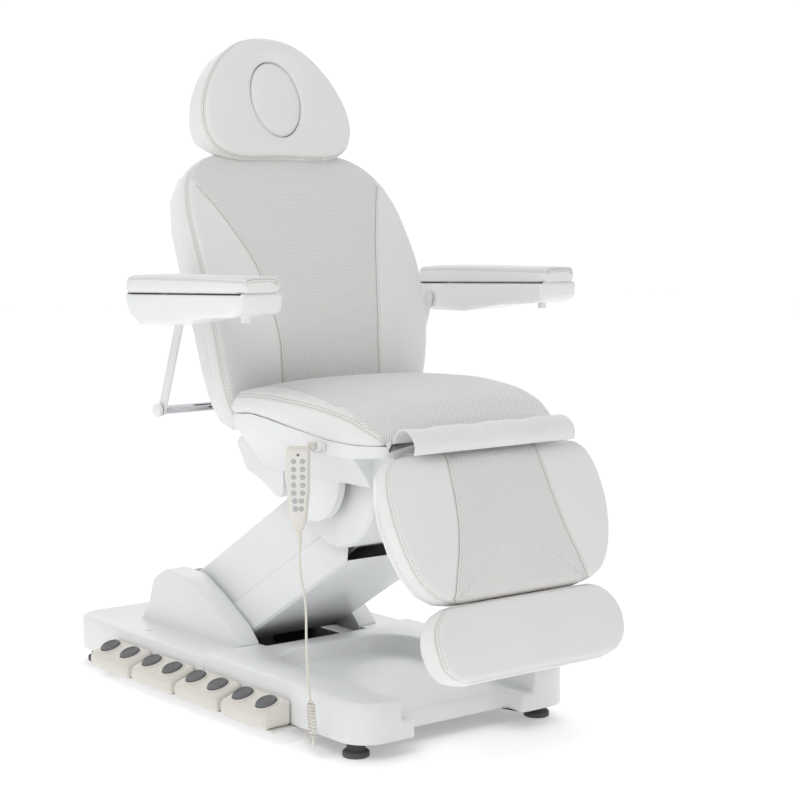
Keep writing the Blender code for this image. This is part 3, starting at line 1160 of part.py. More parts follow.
def make_handset():
    """The handset hangs face out; its drawing is (across, up), thick towards the person who holds it."""
    wide, long = HANDSET_WIDE / 2, HANDSET_LONG
    outline = rounded([(-wide, 0, 0.008), (-wide + 0.001, -0.55 * long, 0.1), (-wide + 0.007, -0.88 * long, 0.03),
                       (-0.010, -long, 0.006), (0.010, -long, 0.006), (wide - 0.007, -0.88 * long, 0.03),
                       (wide - 0.001, -0.55 * long, 0.1), (wide, 0, 0.008)], 3)
    handset = slab("handset", outline, -HANDSET_THICK / 2, HANDSET_THICK / 2, HANDSET)
    put(handset, "handset", "grey_plastic")
    soften(handset, 0.004, 1, 50)
    relief_top = HANDSET @ Vector((0, -long + 0.002, 0))
    relief_end = relief_top - Vector((0, 0.004, 0.030))
    clip = [(0.6440, HOOK_X - 0.0110), (0.6440, HOOK_X - 0.0028), (0.6568, HOOK_X - 0.0028),
            (0.6568, HOOK_X + 0.0028), (0.6440, HOOK_X + 0.0028), (0.6440, HOOK_X + 0.0052),
            (0.6600, HOOK_X + 0.0052), (0.6600, HOOK_X - 0.0110)]
    join(handset, "handset", cylinder("strain_relief", relief_top, relief_end, 0.0075, 12, 0.0045),
         slab("clip", clip, HOOK_Y - 0.0065, HOOK_Y + 0.0065, END))
    return relief_end


def make_cord(start):
    """The lead: straight down from the handset, a curled stretch, and a tail that goes under the base."""
    direction = Vector((0, -0.03, -1)).normalized()
    first = start + (GAP + 0.0002) * direction
    knots = [first, first + Vector((-0.001, -0.003, -0.060)), Vector((-0.352, -0.492, 0.330)),
             Vector((-0.353, -0.496, 0.240)), Vector((-0.352, -0.500, 0.170)), Vector((-0.350, -0.504, 0.1310))]
    put(wire("cord_straight", smooth_line(knots, 26), CORD_R), "base", "grey_plastic")
    put(wire("cord_curl", smooth_line([(-0.350, -0.5043, 0.1305), (-0.3495, -0.508, 0.092),
                                       (-0.348, -0.512, 0.0480)], 6), CURL_R, 3), "base", "grey_plastic")
    tail = [(-0.348, -0.5124, 0.0475), (-0.3475, -0.5115, 0.0400), (-0.345, -0.504, 0.0345),
            (-0.336, -0.482, 0.0325), (-0.322, -0.452, 0.0330), (-0.305, -0.425, 0.0345),
            (-0.285, -0.408, 0.0350)]
    put(wire("cord_tail", smooth_line(tail, 20), CORD_R), "base", "grey_plastic")


# ---------------------------------------------------------------- the bed
def make_axes():
    add_axis("base", (0, 0, 0))
    for name, side in (("right", -1), ("left", 1)):
        add_axis("wheel_" + name, (side * WHEEL_X, WHEEL_Y, WHEEL_Z), "base")
    for number in range(1, 9):
        pedal, which = divmod(number - 1, 2)
        middle = PEDAL_FIRST_Y - pedal * PEDAL_PITCH
        add_axis("button_%d" % number, pedal_top(middle + (1, -1)[which] * BUTTON_PAIR / 2), "base")
    add_axis("upper_arm", BASE_PIN, "base")
    add_axis("lower_arm", LOW_BASE_PIN, "base")
    add_axis("actuator", MOTOR_PIN, "base")
    add_axis("rod", crank_place(), "actuator")
    add_axis("carrier", TOP_PIN, "upper_arm")
    add_axis("seat", SEAT_PIVOT, "carrier")
    add_axis("backrest", BACK_HINGE, "seat")
    for name, side in (("right", -1), ("left", 1)):
        add_axis("post_" + name, TUBE_PIN + Vector((side * POST_IN, 0, 0)), "backrest")
        add_axis("arm_" + name, ARM_PIVOT + Vector((side * REST_IN, 0, 0)), "post_" + name)
    add_axis("head_slide", on(BACK, HEAD_POST_LOW, HEAD_POST_DEPTH), "backrest")
    add_axis("head", head_hinge(), "head_slide")
    add_axis("plug", on(HEAD, HOLE_UP, 0), "head")
    add_axis("legrest", on(LEG, LEG_HINGE_UP, LEG_HINGE_DEPTH), "seat")
    add_axis("footrest", on(LEG, 0.325, RAIL_DEPTH), "legrest")
    add_axis("handset", HANDSET_TOP, "seat")


def main():
    global parts, cutters
    clear_scene()
    parts = new_collection("facial_treatment_bed")
    cutters = new_collection("cutters")
    make_axes()
    make_base_frame()
    make_rear_cover()
    make_front_cover()
    make_feet()
    make_wheels()
    make_pedals()
    make_upper_arm()
    make_lower_arm()
    make_actuator()
    make_carrier()
    make_seat()
    make_back()
    make_arm_rests()
    make_head()
    make_leg()
    relief_end = make_handset()
    make_cord(relief_end)


main()
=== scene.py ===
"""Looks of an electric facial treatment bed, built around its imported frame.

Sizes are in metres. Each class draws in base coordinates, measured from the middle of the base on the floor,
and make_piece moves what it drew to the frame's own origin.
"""

import json
import logging
import math
from dataclasses import dataclass, field
from enum import Enum

import bmesh
import bpy
import numpy as np
from mathutils import Matrix, Vector

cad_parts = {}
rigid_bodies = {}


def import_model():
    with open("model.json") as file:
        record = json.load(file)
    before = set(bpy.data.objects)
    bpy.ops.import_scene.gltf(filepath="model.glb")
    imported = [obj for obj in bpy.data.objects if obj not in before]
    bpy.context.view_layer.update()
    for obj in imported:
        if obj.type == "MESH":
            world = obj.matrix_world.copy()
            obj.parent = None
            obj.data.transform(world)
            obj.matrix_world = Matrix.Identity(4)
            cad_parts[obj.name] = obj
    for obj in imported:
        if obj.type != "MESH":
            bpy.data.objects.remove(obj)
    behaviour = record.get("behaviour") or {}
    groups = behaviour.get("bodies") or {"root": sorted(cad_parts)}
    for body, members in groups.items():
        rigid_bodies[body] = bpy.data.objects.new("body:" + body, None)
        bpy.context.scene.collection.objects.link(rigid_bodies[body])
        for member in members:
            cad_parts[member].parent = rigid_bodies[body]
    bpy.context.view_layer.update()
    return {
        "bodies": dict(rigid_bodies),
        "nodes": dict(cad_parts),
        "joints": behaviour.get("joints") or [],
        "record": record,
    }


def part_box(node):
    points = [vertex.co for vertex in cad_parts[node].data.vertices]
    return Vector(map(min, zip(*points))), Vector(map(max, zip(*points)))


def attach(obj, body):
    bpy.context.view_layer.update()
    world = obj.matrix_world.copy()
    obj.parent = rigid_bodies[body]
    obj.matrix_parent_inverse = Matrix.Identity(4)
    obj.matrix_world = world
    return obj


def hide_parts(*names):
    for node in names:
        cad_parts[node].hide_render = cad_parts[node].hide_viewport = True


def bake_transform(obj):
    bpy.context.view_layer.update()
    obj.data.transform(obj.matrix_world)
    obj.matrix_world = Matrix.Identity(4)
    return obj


LOG = logging.getLogger("treatment_bed")
BASE_Y = 0.1258
Pairs = tuple[tuple[float, float], ...]


class Lie(Enum):
    """How a pad's front face is stitched."""

    PLAIN = "plain"
    PERFORATED = "perforated"


# ---------------------------------------------------------------- colour and nodes
def linear(hex_colour: str, alpha: float = 1.0) -> tuple[float, float, float, float]:
    """Turn an sRGB hex colour into linear values.

    Args:
        hex_colour: Six hex digits.
        alpha: Opacity.

    Returns:
        Red, green, blue and alpha.
    """
    values = [int(hex_colour[i:i + 2], 16) / 255 for i in (0, 2, 4)]
    rgb = [v / 12.92 if v <= 0.04045 else ((v + 0.055) / 1.055) ** 2.4 for v in values]
    return (rgb[0], rgb[1], rgb[2], alpha)


def add_node(tree: bpy.types.NodeTree, kind: str, settings: dict | None = None,
             inputs: dict | None = None) -> bpy.types.Node:
    """Add a node with its settings, socket values and links.

    Args:
        tree: The node tree.
        kind: The node's type.
        settings: Attributes to set on the node.
        inputs: Values, or output sockets to link, by input name or number.

    Returns:
        The new node.
    """
    node = tree.nodes.new(kind)
    for name, value in (settings or {}).items():
        setattr(node, name, value)
    for name, value in (inputs or {}).items():
        if isinstance(value, bpy.types.NodeSocket):
            tree.links.new(value, node.inputs[name])
        else:
            node.inputs[name].default_value = value
    return node


# ---------------------------------------------------------------- finishes
@dataclass(frozen=True)
class Finish:
    """A moulded or coated surface with a fine texture.

    Attributes:
        name: What the material is.
        colour: Its sRGB hex colour.
        shade: The sRGB hex colour of its faint mottling.
        roughness: Typical roughness.
        metallic: 1 for bare metal.
        grain_mm: Size of its surface texture.
        grain: Height of that texture in millimetres.
        coat: Clear-coat weight.
        slot: The record's slot it stands for; not used.
    """

    name: str
    colour: str
    shade: str
    roughness: float
    metallic: float = 0.0
    grain_mm: float = 1.2
    grain: float = 0.02
    coat: float = 0.0
    slot: str = "white_plastic"

    def material(self) -> bpy.types.Material:
        """Return the material, made once."""
        found = bpy.data.materials.get(self.name)
        if found:
            return found
        made = bpy.data.materials.new(self.name)
        made.use_nodes = True
        tree = made.node_tree
        shader = tree.nodes["Principled BSDF"]
        place = add_node(tree, "ShaderNodeTexCoord")
        broad = add_node(tree, "ShaderNodeTexNoise", {}, {"Vector": place.outputs["Object"], "Scale": 9.0,
                                                          "Detail": 3.0})
        fine = add_node(tree, "ShaderNodeTexNoise", {}, {"Vector": place.outputs["Object"],
                                                         "Scale": 1000.0 / self.grain_mm, "Detail": 2.0})
        mottle = add_node(tree, "ShaderNodeMix", {"data_type": "RGBA"},
                          {0: broad.outputs["Fac"], 6: linear(self.colour), 7: linear(self.shade)})
        rough = add_node(tree, "ShaderNodeMapRange", {}, {0: broad.outputs["Fac"], 3: self.roughness - 0.05,
                                                          4: self.roughness + 0.05})
        bump = add_node(tree, "ShaderNodeBump", {}, {"Strength": 0.35, "Distance": self.grain / 1000,
                                                     "Height": fine.outputs["Fac"]})
        tree.links.new(mottle.outputs[2], shader.inputs["Base Color"])
        tree.links.new(rough.outputs[0], shader.inputs["Roughness"])
        tree.links.new(bump.outputs[0], shader.inputs["Normal"])
        shader.inputs["Metallic"].default_value = self.metallic
        shader.inputs["Coat Weight"].default_value = self.coat
        return made


@dataclass(frozen=True)
class VinylFinish:
    """Upholstery vinyl over foam, embossed with a fine leather grain and sewn with paired stitches.

    Attributes:
        name: What the material is.
        colour: Its sRGB hex colour.
        hole: The sRGB hex colour inside the perforations, a painted shade for the dark inside each hole.
        pitch: Distance between perforations, as coarse as a render needs to show them.
        hole_radius: Radius of a perforation.
        stitch: Length of a stitch and its gap.
        slot: The record's slot it stands for; not used.
    """

    name: str = "upholstery_vinyl"
    colour: str = "EFEEED"
    hole: str = "C6C4C2"
    pitch: float = 0.0066
    hole_radius: float = 0.16
    stitch: float = 0.006
    slot: str = "white_vinyl"

    def material(self) -> bpy.types.Material:
        """Return the material, made once."""
        found = bpy.data.materials.get(self.name)
        if found:
            return found
        made = bpy.data.materials.new(self.name)
        made.use_nodes = True
        tree = made.node_tree
        shader = tree.nodes["Principled BSDF"]
        place = add_node(tree, "ShaderNodeTexCoord")
        # Embossed leather grain: cells of about 2 mm that catch the light softly
        cells = add_node(tree, "ShaderNodeTexVoronoi", {"feature": "DISTANCE_TO_EDGE"},
                         {"Vector": place.outputs["Object"], "Scale": 420.0})
        broad = add_node(tree, "ShaderNodeTexNoise", {}, {"Vector": place.outputs["Object"], "Scale": 7.0,
                                                          "Detail": 4.0})
        # Perforations: two square grids, the second shifted by half a pitch
        flat = add_node(tree, "ShaderNodeAttribute", {"attribute_name": "pad_place"})
        masks = []
        for shift in (0.0, 0.5):
            scaled = add_node(tree, "ShaderNodeVectorMath", {"operation": "MULTIPLY_ADD"},
                              {0: flat.outputs["Vector"], 1: (1 / self.pitch, 1 / self.pitch, 0),
                               2: (shift + 50, shift + 50, 0.5)})
            cell = add_node(tree, "ShaderNodeVectorMath", {"operation": "FRACTION"}, {0: scaled.outputs[0]})
            away = add_node(tree, "ShaderNodeVectorMath", {"operation": "DISTANCE"},
                            {0: cell.outputs[0], 1: (0.5, 0.5, 0.5)})
            masks.append(add_node(tree, "ShaderNodeMapRange", {}, {
                0: away.outputs["Value"], 1: self.hole_radius, 2: self.hole_radius + 0.10, 3: 1.0, 4: 0.0}))
        both = add_node(tree, "ShaderNodeMath", {"operation": "MAXIMUM"},
                        {0: masks[0].outputs[0], 1: masks[1].outputs[0]})
        area = add_node(tree, "ShaderNodeAttribute", {"attribute_name": "perforated"})
        holes = add_node(tree, "ShaderNodeMath", {"operation": "MULTIPLY"},
                         {0: both.outputs[0], 1: area.outputs["Fac"]})
        # Paired stitches on both sides of a seam
        seam = add_node(tree, "ShaderNodeAttribute", {"attribute_name": "seam"})
        split = add_node(tree, "ShaderNodeSeparateXYZ", {}, {0: seam.outputs["Vector"]})
        aside = add_node(tree, "ShaderNodeMath", {"operation": "ABSOLUTE"}, {0: split.outputs["X"]})
        near = add_node(tree, "ShaderNodeMath", {"operation": "COMPARE"}, {0: aside.outputs[0], 1: 0.0048,
                                                                           2: 0.0010})
        along = add_node(tree, "ShaderNodeMath", {"operation": "DIVIDE"}, {0: split.outputs["Y"],
                                                                           1: self.stitch})
        part = add_node(tree, "ShaderNodeMath", {"operation": "FRACT"}, {0: along.outputs[0]})
        dash = add_node(tree, "ShaderNodeMath", {"operation": "LESS_THAN"}, {0: part.outputs[0], 1: 0.72})
        thread = add_node(tree, "ShaderNodeMath", {"operation": "MULTIPLY"}, {0: near.outputs[0],
                                                                              1: dash.outputs[0]})
        # Painted shade: the cover darkens towards BFBCB9 within about 2 mm of each seam line, standing in for the
        # shade in the seam's crease
        seam_shade_mask = add_node(tree, "ShaderNodeMapRange", {}, {0: aside.outputs[0], 1: 0.0004, 2: 0.0022, 3: 1.0,
                                                         4: 0.0})
        worn = add_node(tree, "ShaderNodeMix", {"data_type": "RGBA"},
                        {0: broad.outputs["Fac"], 6: linear(self.colour), 7: linear("E8E7E6")})
        # Painted shade: each perforation takes the hole colour, standing in for the shade inside the hole
        dotted = add_node(tree, "ShaderNodeMix", {"data_type": "RGBA"},
                          {0: holes.outputs[0], 6: worn.outputs[2], 7: linear(self.hole)})
        sewn = add_node(tree, "ShaderNodeMix", {"data_type": "RGBA"},
                        {0: thread.outputs[0], 6: dotted.outputs[2], 7: linear("CFCCC8")})
        # Lay the painted crease shade over the sewn colour
        seam_shaded = add_node(tree, "ShaderNodeMix", {"data_type": "RGBA"},
                           {0: seam_shade_mask.outputs[0], 6: sewn.outputs[2], 7: linear("BFBCB9")})
        height = add_node(tree, "ShaderNodeMath", {"operation": "MULTIPLY_ADD"},
                          {0: holes.outputs[0], 1: -3.0, 2: cells.outputs["Distance"]})
        raised = add_node(tree, "ShaderNodeMath", {"operation": "MULTIPLY_ADD"},
                          {0: thread.outputs[0], 1: 2.0, 2: height.outputs[0]})
        bump = add_node(tree, "ShaderNodeBump", {}, {"Strength": 0.30, "Distance": 0.0005,
                                                     "Height": raised.outputs[0]})
        rough = add_node(tree, "ShaderNodeMapRange", {}, {0: broad.outputs["Fac"], 3: 0.40, 4: 0.52})
        tree.links.new(seam_shaded.outputs[2], shader.inputs["Base Color"])
        tree.links.new(rough.outputs[0], shader.inputs["Roughness"])
        tree.links.new(bump.outputs[0], shader.inputs["Normal"])
        shader.inputs["Sheen Weight"].default_value = 0.08
        shader.inputs["Subsurface Weight"].default_value = 0.0
        return made


# Injection-moulded ABS, satin with a faint orange-peel that breaks up its highlights
WHITE_ABS = Finish("moulded_white_abs", "EFF0F0", "EAECEC", 0.30, grain_mm=3.0, grain=0.03, coat=0.15)
# Textured ABS in a warm light grey, matt from the mould's spark-eroded skin
WARM_ABS = Finish("spark_textured_abs", "E6E2DB", "DFDBD3", 0.50, grain_mm=1.4, grain=0.06, slot="grey_plastic")
# Membrane foil over the handset's keys, smoother than its case
KEY_FOIL = Finish("polyester_key_foil", "E9E7E1", "E2E0DA", 0.38, grain_mm=1.6, grain=0.01, slot="grey_plastic")
KEY_CAP = Finish("printed_key_spot", "BFC0C1", "B2B4B6", 0.45, grain_mm=1.0, grain=0.01, slot="grey_plastic")
# Thermoplastic rubber, dark grey and dimpled for the shoe
BUTTON_RUBBER = Finish("dimpled_tpe", "77787A", "6A6B6D", 0.62, grain_mm=1.5, grain=0.10, slot="dark_rubber")
# Black rubber of the feet and wheels, dusty and matt
BLACK_RUBBER = Finish("black_rubber", "1C1C1D", "262627", 0.62, grain_mm=1.5, grain=0.06, slot="black_rubber")
# Powder coat: a fine pebbled skin over steel
DARK_STEEL = Finish("dark_powder_coat", "3C3D40", "343538", 0.45, 0.2, 1.6, 0.05, slot="dark_steel")
WHITE_STEEL = Finish("white_powder_coat", "EAEAE9", "E2E2E1", 0.36, 0.0, 1.8, 0.05, slot="white_steel")
# Polished chromium plate
CHROME = Finish("chromium_plate", "D4D5D8", "CBCCD0", 0.09, 1.0, 2.0, 0.004, slot="chrome")
VINYL = VinylFinish()


# ---------------------------------------------------------------- drawing
@dataclass(frozen=True)
class Profile:
    """A smooth curve through knots, without overshoot.

    Attributes:
        knots: Pairs of position and value, in rising position.
    """

    knots: Pairs

    def __call__(self, at: float) -> float:
        """Return the value at a position."""
        x = np.array([k[0] for k in self.knots])
        y = np.array([k[1] for k in self.knots])
        step = np.diff(y) / np.diff(x)
        slope = np.zeros(len(x))
        slope[0], slope[-1] = step[0], step[-1]
        for i in range(1, len(x) - 1):
            if step[i - 1] * step[i] > 0:
                slope[i] = 2 * step[i - 1] * step[i] / (step[i - 1] + step[i])
        at = min(max(at, x[0]), x[-1])
        i = min(int(np.searchsorted(x, at, side="right")) - 1, len(x) - 2)
        wide = x[i + 1] - x[i]
        t = (at - x[i]) / wide
        return float((2 * t ** 3 - 3 * t ** 2 + 1) * y[i] + (t ** 3 - 2 * t ** 2 + t) * wide * slope[i]
                     + (-2 * t ** 3 + 3 * t ** 2) * y[i + 1] + (t ** 3 - t ** 2) * wide * slope[i + 1])


def frame_of(origin: tuple[float, float, float], across: tuple[float, float, float],
             along: tuple[float, float, float]) -> Matrix:
    """Return the matrix that stands a drawing on two axes.

    Args:
        origin: Where the drawing's origin lies.
        across: Direction of its first axis.
        along: Direction of its second axis.

    Returns:
        The matrix; its third column is the outward normal.
    """
    u, v = Vector(across), Vector(along)
    return Matrix.Translation(origin) @ Matrix((u, v, u.cross(v))).transposed().to_4x4()


BACK_LEAN, HEAD_LEAN, LEG_LEAN = (math.radians(a) for a in (19.0, 16.8, 21.0))
BACK = frame_of((0, -0.035 - 0.093 * math.cos(BACK_LEAN), 0.665 + 0.093 * math.sin(BACK_LEAN)), (1, 0, 0),
                (0, math.sin(BACK_LEAN), math.cos(BACK_LEAN)))
HEAD = frame_of((0, 0.062, 1.255), (1, 0, 0), (0, math.sin(HEAD_LEAN), math.cos(HEAD_LEAN)))
LEG = frame_of((0, -0.668, 0.650), (-1, 0, 0), (0, -math.sin(LEG_LEAN), -math.cos(LEG_LEAN)))
FLAT = frame_of((0, 0, 0), (-1, 0, 0), (0, -1, 0))


def make_piece(name: str, mesh: bpy.types.Mesh, finish: Finish | VinylFinish, body: str,
               stands_for: tuple[str, ...] = (), in_row: bool = False) -> bpy.types.Object:
    """Make an object of a mesh, dress it and hang it on its body.

    Args:
        name: The piece's name.
        mesh: Its mesh, in base coordinates.
        finish: Its finish.
        body: The body it rides on, or "" for a piece left on no body.
        stands_for: The CAD nodes it replaces.
        in_row: True when the mesh is already in the frame's coordinates.

    Returns:
        The object.
    """
    if not in_row:
        mesh.transform(Matrix.Translation((0, BASE_Y, 0)))
    piece = bpy.data.objects.new(name, mesh)
    bpy.context.scene.collection.objects.link(piece)
    mesh.materials.clear()
    mesh.materials.append(finish.material())
    mesh.shade_smooth()
    if body:
        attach(piece, body)
    if stands_for:
        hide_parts(*stands_for)
    LOG.info("%s: %d faces on %s", name, len(mesh.polygons), body or "two bodies")
    return piece


def mesh_of(bm: bmesh.types.BMesh, name: str) -> bpy.types.Mesh:
    """Return a mesh made from a bmesh, with its faces turned outward."""
    bmesh.ops.recalc_face_normals(bm, faces=bm.faces)
    mesh = bpy.data.meshes.new(name)
    bm.to_mesh(mesh)
    bm.free()
    return mesh


def loops_mesh(name: str, loops: list[list[Vector]], ring: bool = False,
               store: list | None = None) -> bpy.types.Mesh:
    """Skin a row of closed loops.

    Args:
        name: The mesh's name.
        loops: Loops of equal counts of points.
        ring: True when the last loop joins the first, or else both ends are capped.
        store: Each point's place, its distance from and along the seam, and whether it is perforated.

    Returns:
        The mesh.
    """
    count = len(loops[0])
    points = [p for loop in loops for p in loop]
    faces = []
    for row in range(len(loops) - (0 if ring else 1)):
        here, there = row * count, (row + 1) % len(loops) * count
        for i in range(count):
            j = (i + 1) % count
            faces.append((here + i, here + j, there + j, there + i))
    if not ring:
        faces.append(tuple(range(count))[::-1])
        faces.append(tuple(range((len(loops) - 1) * count, len(loops) * count)))
    mesh = bpy.data.meshes.new(name)
    mesh.from_pydata(points, [], faces)
    if store:
        for column, label in enumerate(("pad_place", "seam")):
            layer = mesh.attributes.new(label, "FLOAT_VECTOR", "POINT")
            layer.data.foreach_set("vector", np.array([s[column] for s in store], np.float32).ravel())
        layer = mesh.attributes.new("perforated", "FLOAT", "POINT")
        layer.data.foreach_set("value", np.array([s[2] for s in store], np.float32))
    bm = bmesh.new()
    bm.from_mesh(mesh)
    bmesh.ops.remove_doubles(bm, verts=bm.verts, dist=1e-6)
    bmesh.ops.recalc_face_normals(bm, faces=bm.faces)
    bm.to_mesh(mesh)
    bm.free()
    return mesh


@dataclass
class Pad:
    """A foam pad in a sewn cover, drawn as sections across a panel.

    Attributes:
        name: The piece's name.
        panel: The panel's frame; depth runs behind its face.
        half_width: Half width by place along the panel.
        front: Depth of the face's middle by place along the panel.
        back: Depth of the pad's back by place along the panel.
        seam: Half distance between the two seams by place, or None.
        radius: Radius of the pad's edges.
        crown: How far the face falls from its middle to its edges.
        lie: How the middle of the face is finished.
    """

    name: str
    panel: Matrix
    half_width: Profile
    front: Profile
    back: Profile
    seam: Profile | None = None
    radius: float = 0.022
    crown: float = 0.010
    lie: Lie = Lie.PLAIN
    shift: float = 0.0
    rows: int = 70

    def places(self) -> list[tuple[float, float, float]]:
        """Return each row's place along the panel, its inset at the rounded ends and its way past the rim."""
        low, high = self.half_width.knots[0][0], self.half_width.knots[-1][0]
        reach = min(self.radius, 0.49 * (self.back((low + high) / 2) - self.front((low + high) / 2)))
        arc = [i * math.pi / 2 / 7 for i in range(8)]
        ends = [(reach * (1 - math.cos(a)), reach * (1 - math.sin(a)), reach * (a - math.pi / 6)) for a in arc]
        inner = np.linspace(low + reach, high - reach, self.rows)[1:-1]
        past = reach * math.pi / 3
        return ([(low + d, inset, far) for d, inset, far in ends]
                + [(float(v), 0.0, past + min(float(v) - low, high - float(v)) - reach) for v in inner]
                + [(high - d, inset, far) for d, inset, far in ends[::-1]])

    def columns(self, edge: float, seam: float | None) -> list[float]:
        """Return places across the right half of the face, gathered near the seam."""
        if seam is None:
            return list(np.linspace(0, edge, 34))
        seam = min(seam, edge - 0.004)
        near = [0.0, 0.0009, 0.002, 0.0036, 0.0058, 0.009]
        inside = [seam - d for d in near[::-1]]
        outside = [seam + d * min(1.0, (edge - seam - 0.002) / 0.009) for d in near[1:]]
        return (list(np.linspace(0, inside[0], 13))[:-1] + inside + outside
                + list(np.linspace(outside[-1], edge, 12))[1:])

    def build(self) -> bpy.types.Mesh:
        """Return the pad's mesh, with its places, seams and perforated area stored on its points."""
        loops, store = [], []
        for place, inset, past in self.places():
            wide = self.half_width(place)
            front, back = self.front(place) + inset, self.back(place) - inset * 0.5
            reach = max(min(self.radius - inset * 0.8, (back - front - self.crown) / 2 - 0.001, wide / 2), 0.002)
            edge = wide - reach
            seam = self.seam(place) if self.seam else None
            half = []
            for x in self.columns(edge, seam):
                fall = self.crown * (x / wide) ** 2.4
                off = abs(x) - seam if seam is not None and seam < edge else 1.0
                sink = 0.0030 * math.exp(-(off / 0.0016) ** 2) + 0.0016 * math.exp(-(off / 0.009) ** 2)
                sink *= max(0.0, 1 - inset / 0.01)
                half.append((x, front + fall + sink))
            rim = front + self.crown * (edge / wide) ** 2.4
            for i in range(1, 7):
                turn = i * math.pi / 12
                pinch = 0.0016 if i == 4 else 0.0
                half.append((edge + (reach - pinch) * math.sin(turn), rim + reach - (reach - pinch) * math.cos(turn)))
            low = back - min(reach * 0.5, 0.008)
            for share in (0.25, 0.5, 0.75, 1.0):
                bulge = 0.002 * math.sin(math.pi * share)
                half.append((wide + bulge, rim + reach + (low - rim - reach) * share))
            half += [(wide - 0.003, back - 0.001), (wide - 0.010, back)]
            half += [(float(x), back) for x in np.linspace(wide - 0.02, 0, 6)]
            loop = half + [(-x, d) for x, d in half[-2:0:-1]]
            loops.append([self.panel @ Vector((x + self.shift, place, -d)) for x, d in loop])
            for x, d in loop:
                if abs(x) <= edge and d < rim + 0.004:
                    aside = edge - abs(x) + reach * math.pi / 3
                elif d < rim + reach:
                    turn = math.asin(min(1.0, max(0.0, (abs(x) - edge) / reach)))
                    aside = reach * (math.pi / 3 - turn)
                else:
                    aside = -reach * math.pi / 6 - (d - rim - reach)
                on_face = d < rim + reach * 0.6
                border = min(aside, past)
                off = border
                if seam is not None and on_face and seam < edge and border > 0 and abs(abs(x) - seam) < border:
                    off = abs(x) - seam
                holed = seam is not None and on_face and abs(x) < seam - 0.004 and border > 0.006
                dotted = 1.0 if holed and self.lie is Lie.PERFORATED else 0.0
                store.append(((x, place, 0.0), (off, place + x, 0.0), dotted))
        return loops_mesh(self.name, loops, store=store)


def crossing(outline: list[tuple[float, float]], centre: tuple[float, float], angle: float) -> float:
    """Return how far an outline lies from a centre along a direction.

    Args:
        outline: A closed outline.
        centre: Where the ray starts.
        angle: The ray's direction.

    Returns:
        The distance.
    """
    ray = Vector((math.cos(angle), math.sin(angle)))
    best = 0.0
    for i, a in enumerate(outline):
        b = outline[(i + 1) % len(outline)]
        start = Vector(a) - Vector(centre)
        side = Vector(b) - Vector(a)
        bottom = ray.x * side.y - ray.y * side.x
        if abs(bottom) < 1e-12:
            continue
        share = (start.x * ray.y - start.y * ray.x) / -bottom * -1
        far = (start.x * side.y - start.y * side.x) / bottom
        if -1e-9 <= share <= 1 + 1e-9 and far > best:
            best = far
    return best


def refined(node: str, name: str, finish: Finish, width: float = 0.003, segments: int = 3,
            angle: float = 28.0) -> bpy.types.Object:
    """Make a piece with rounded edges from a CAD node's own solid, and let it stand for that node.

    Args:
        node: The CAD node.
        name: The piece's name.
        finish: Its finish.
        width: Width of the rounded edges.
        segments: Segments of each rounded edge.
        angle: Edges sharper than this are rounded.

    Returns:
        The piece.
    """
    bm = bmesh.new()
    bm.from_mesh(FRAME["nodes"][node].data)
    bmesh.ops.remove_doubles(bm, verts=bm.verts, dist=2e-5)
    bmesh.ops.dissolve_limit(bm, angle_limit=math.radians(1.0), verts=bm.verts, edges=bm.edges)
    piece = make_piece(name, mesh_of(bm, name), finish, BODY_OF[node], (node,), in_row=True)
    step = piece.modifiers.new("rounded_edges", "BEVEL")
    step.width = width
    step.segments = segments
    step.limit_method = "ANGLE"
    step.angle_limit = math.radians(angle)
    step.use_clamp_overlap = True
    step.harden_normals = False
    piece.data.set_sharp_from_angle(angle=math.radians(50))
    return piece


def rounded_disc(name: str, centre: Vector, normal: Vector, rings: list[tuple[float, float]],
                 sides: int = 40, hollow: bool = False) -> bpy.types.Mesh:
    """Return a turned solid about any axis.

    Args:
        name: The mesh's name.
        centre: The axis's foot.
        normal: The axis.
        rings: Radius and height of each ring.
        sides: Points round the axis.
        hollow: True when the last ring joins the first, as in a washer.

    Returns:
        The mesh.
    """
    turn = normal.to_track_quat("Z", "Y").to_matrix().to_4x4()
    place = Matrix.Translation(centre) @ turn
    loops = [[place @ Vector((r * math.cos(a), r * math.sin(a), h))
              for a in (i * math.tau / sides for i in range(sides))] for r, h in rings]
    return loops_mesh(name, loops, hollow)


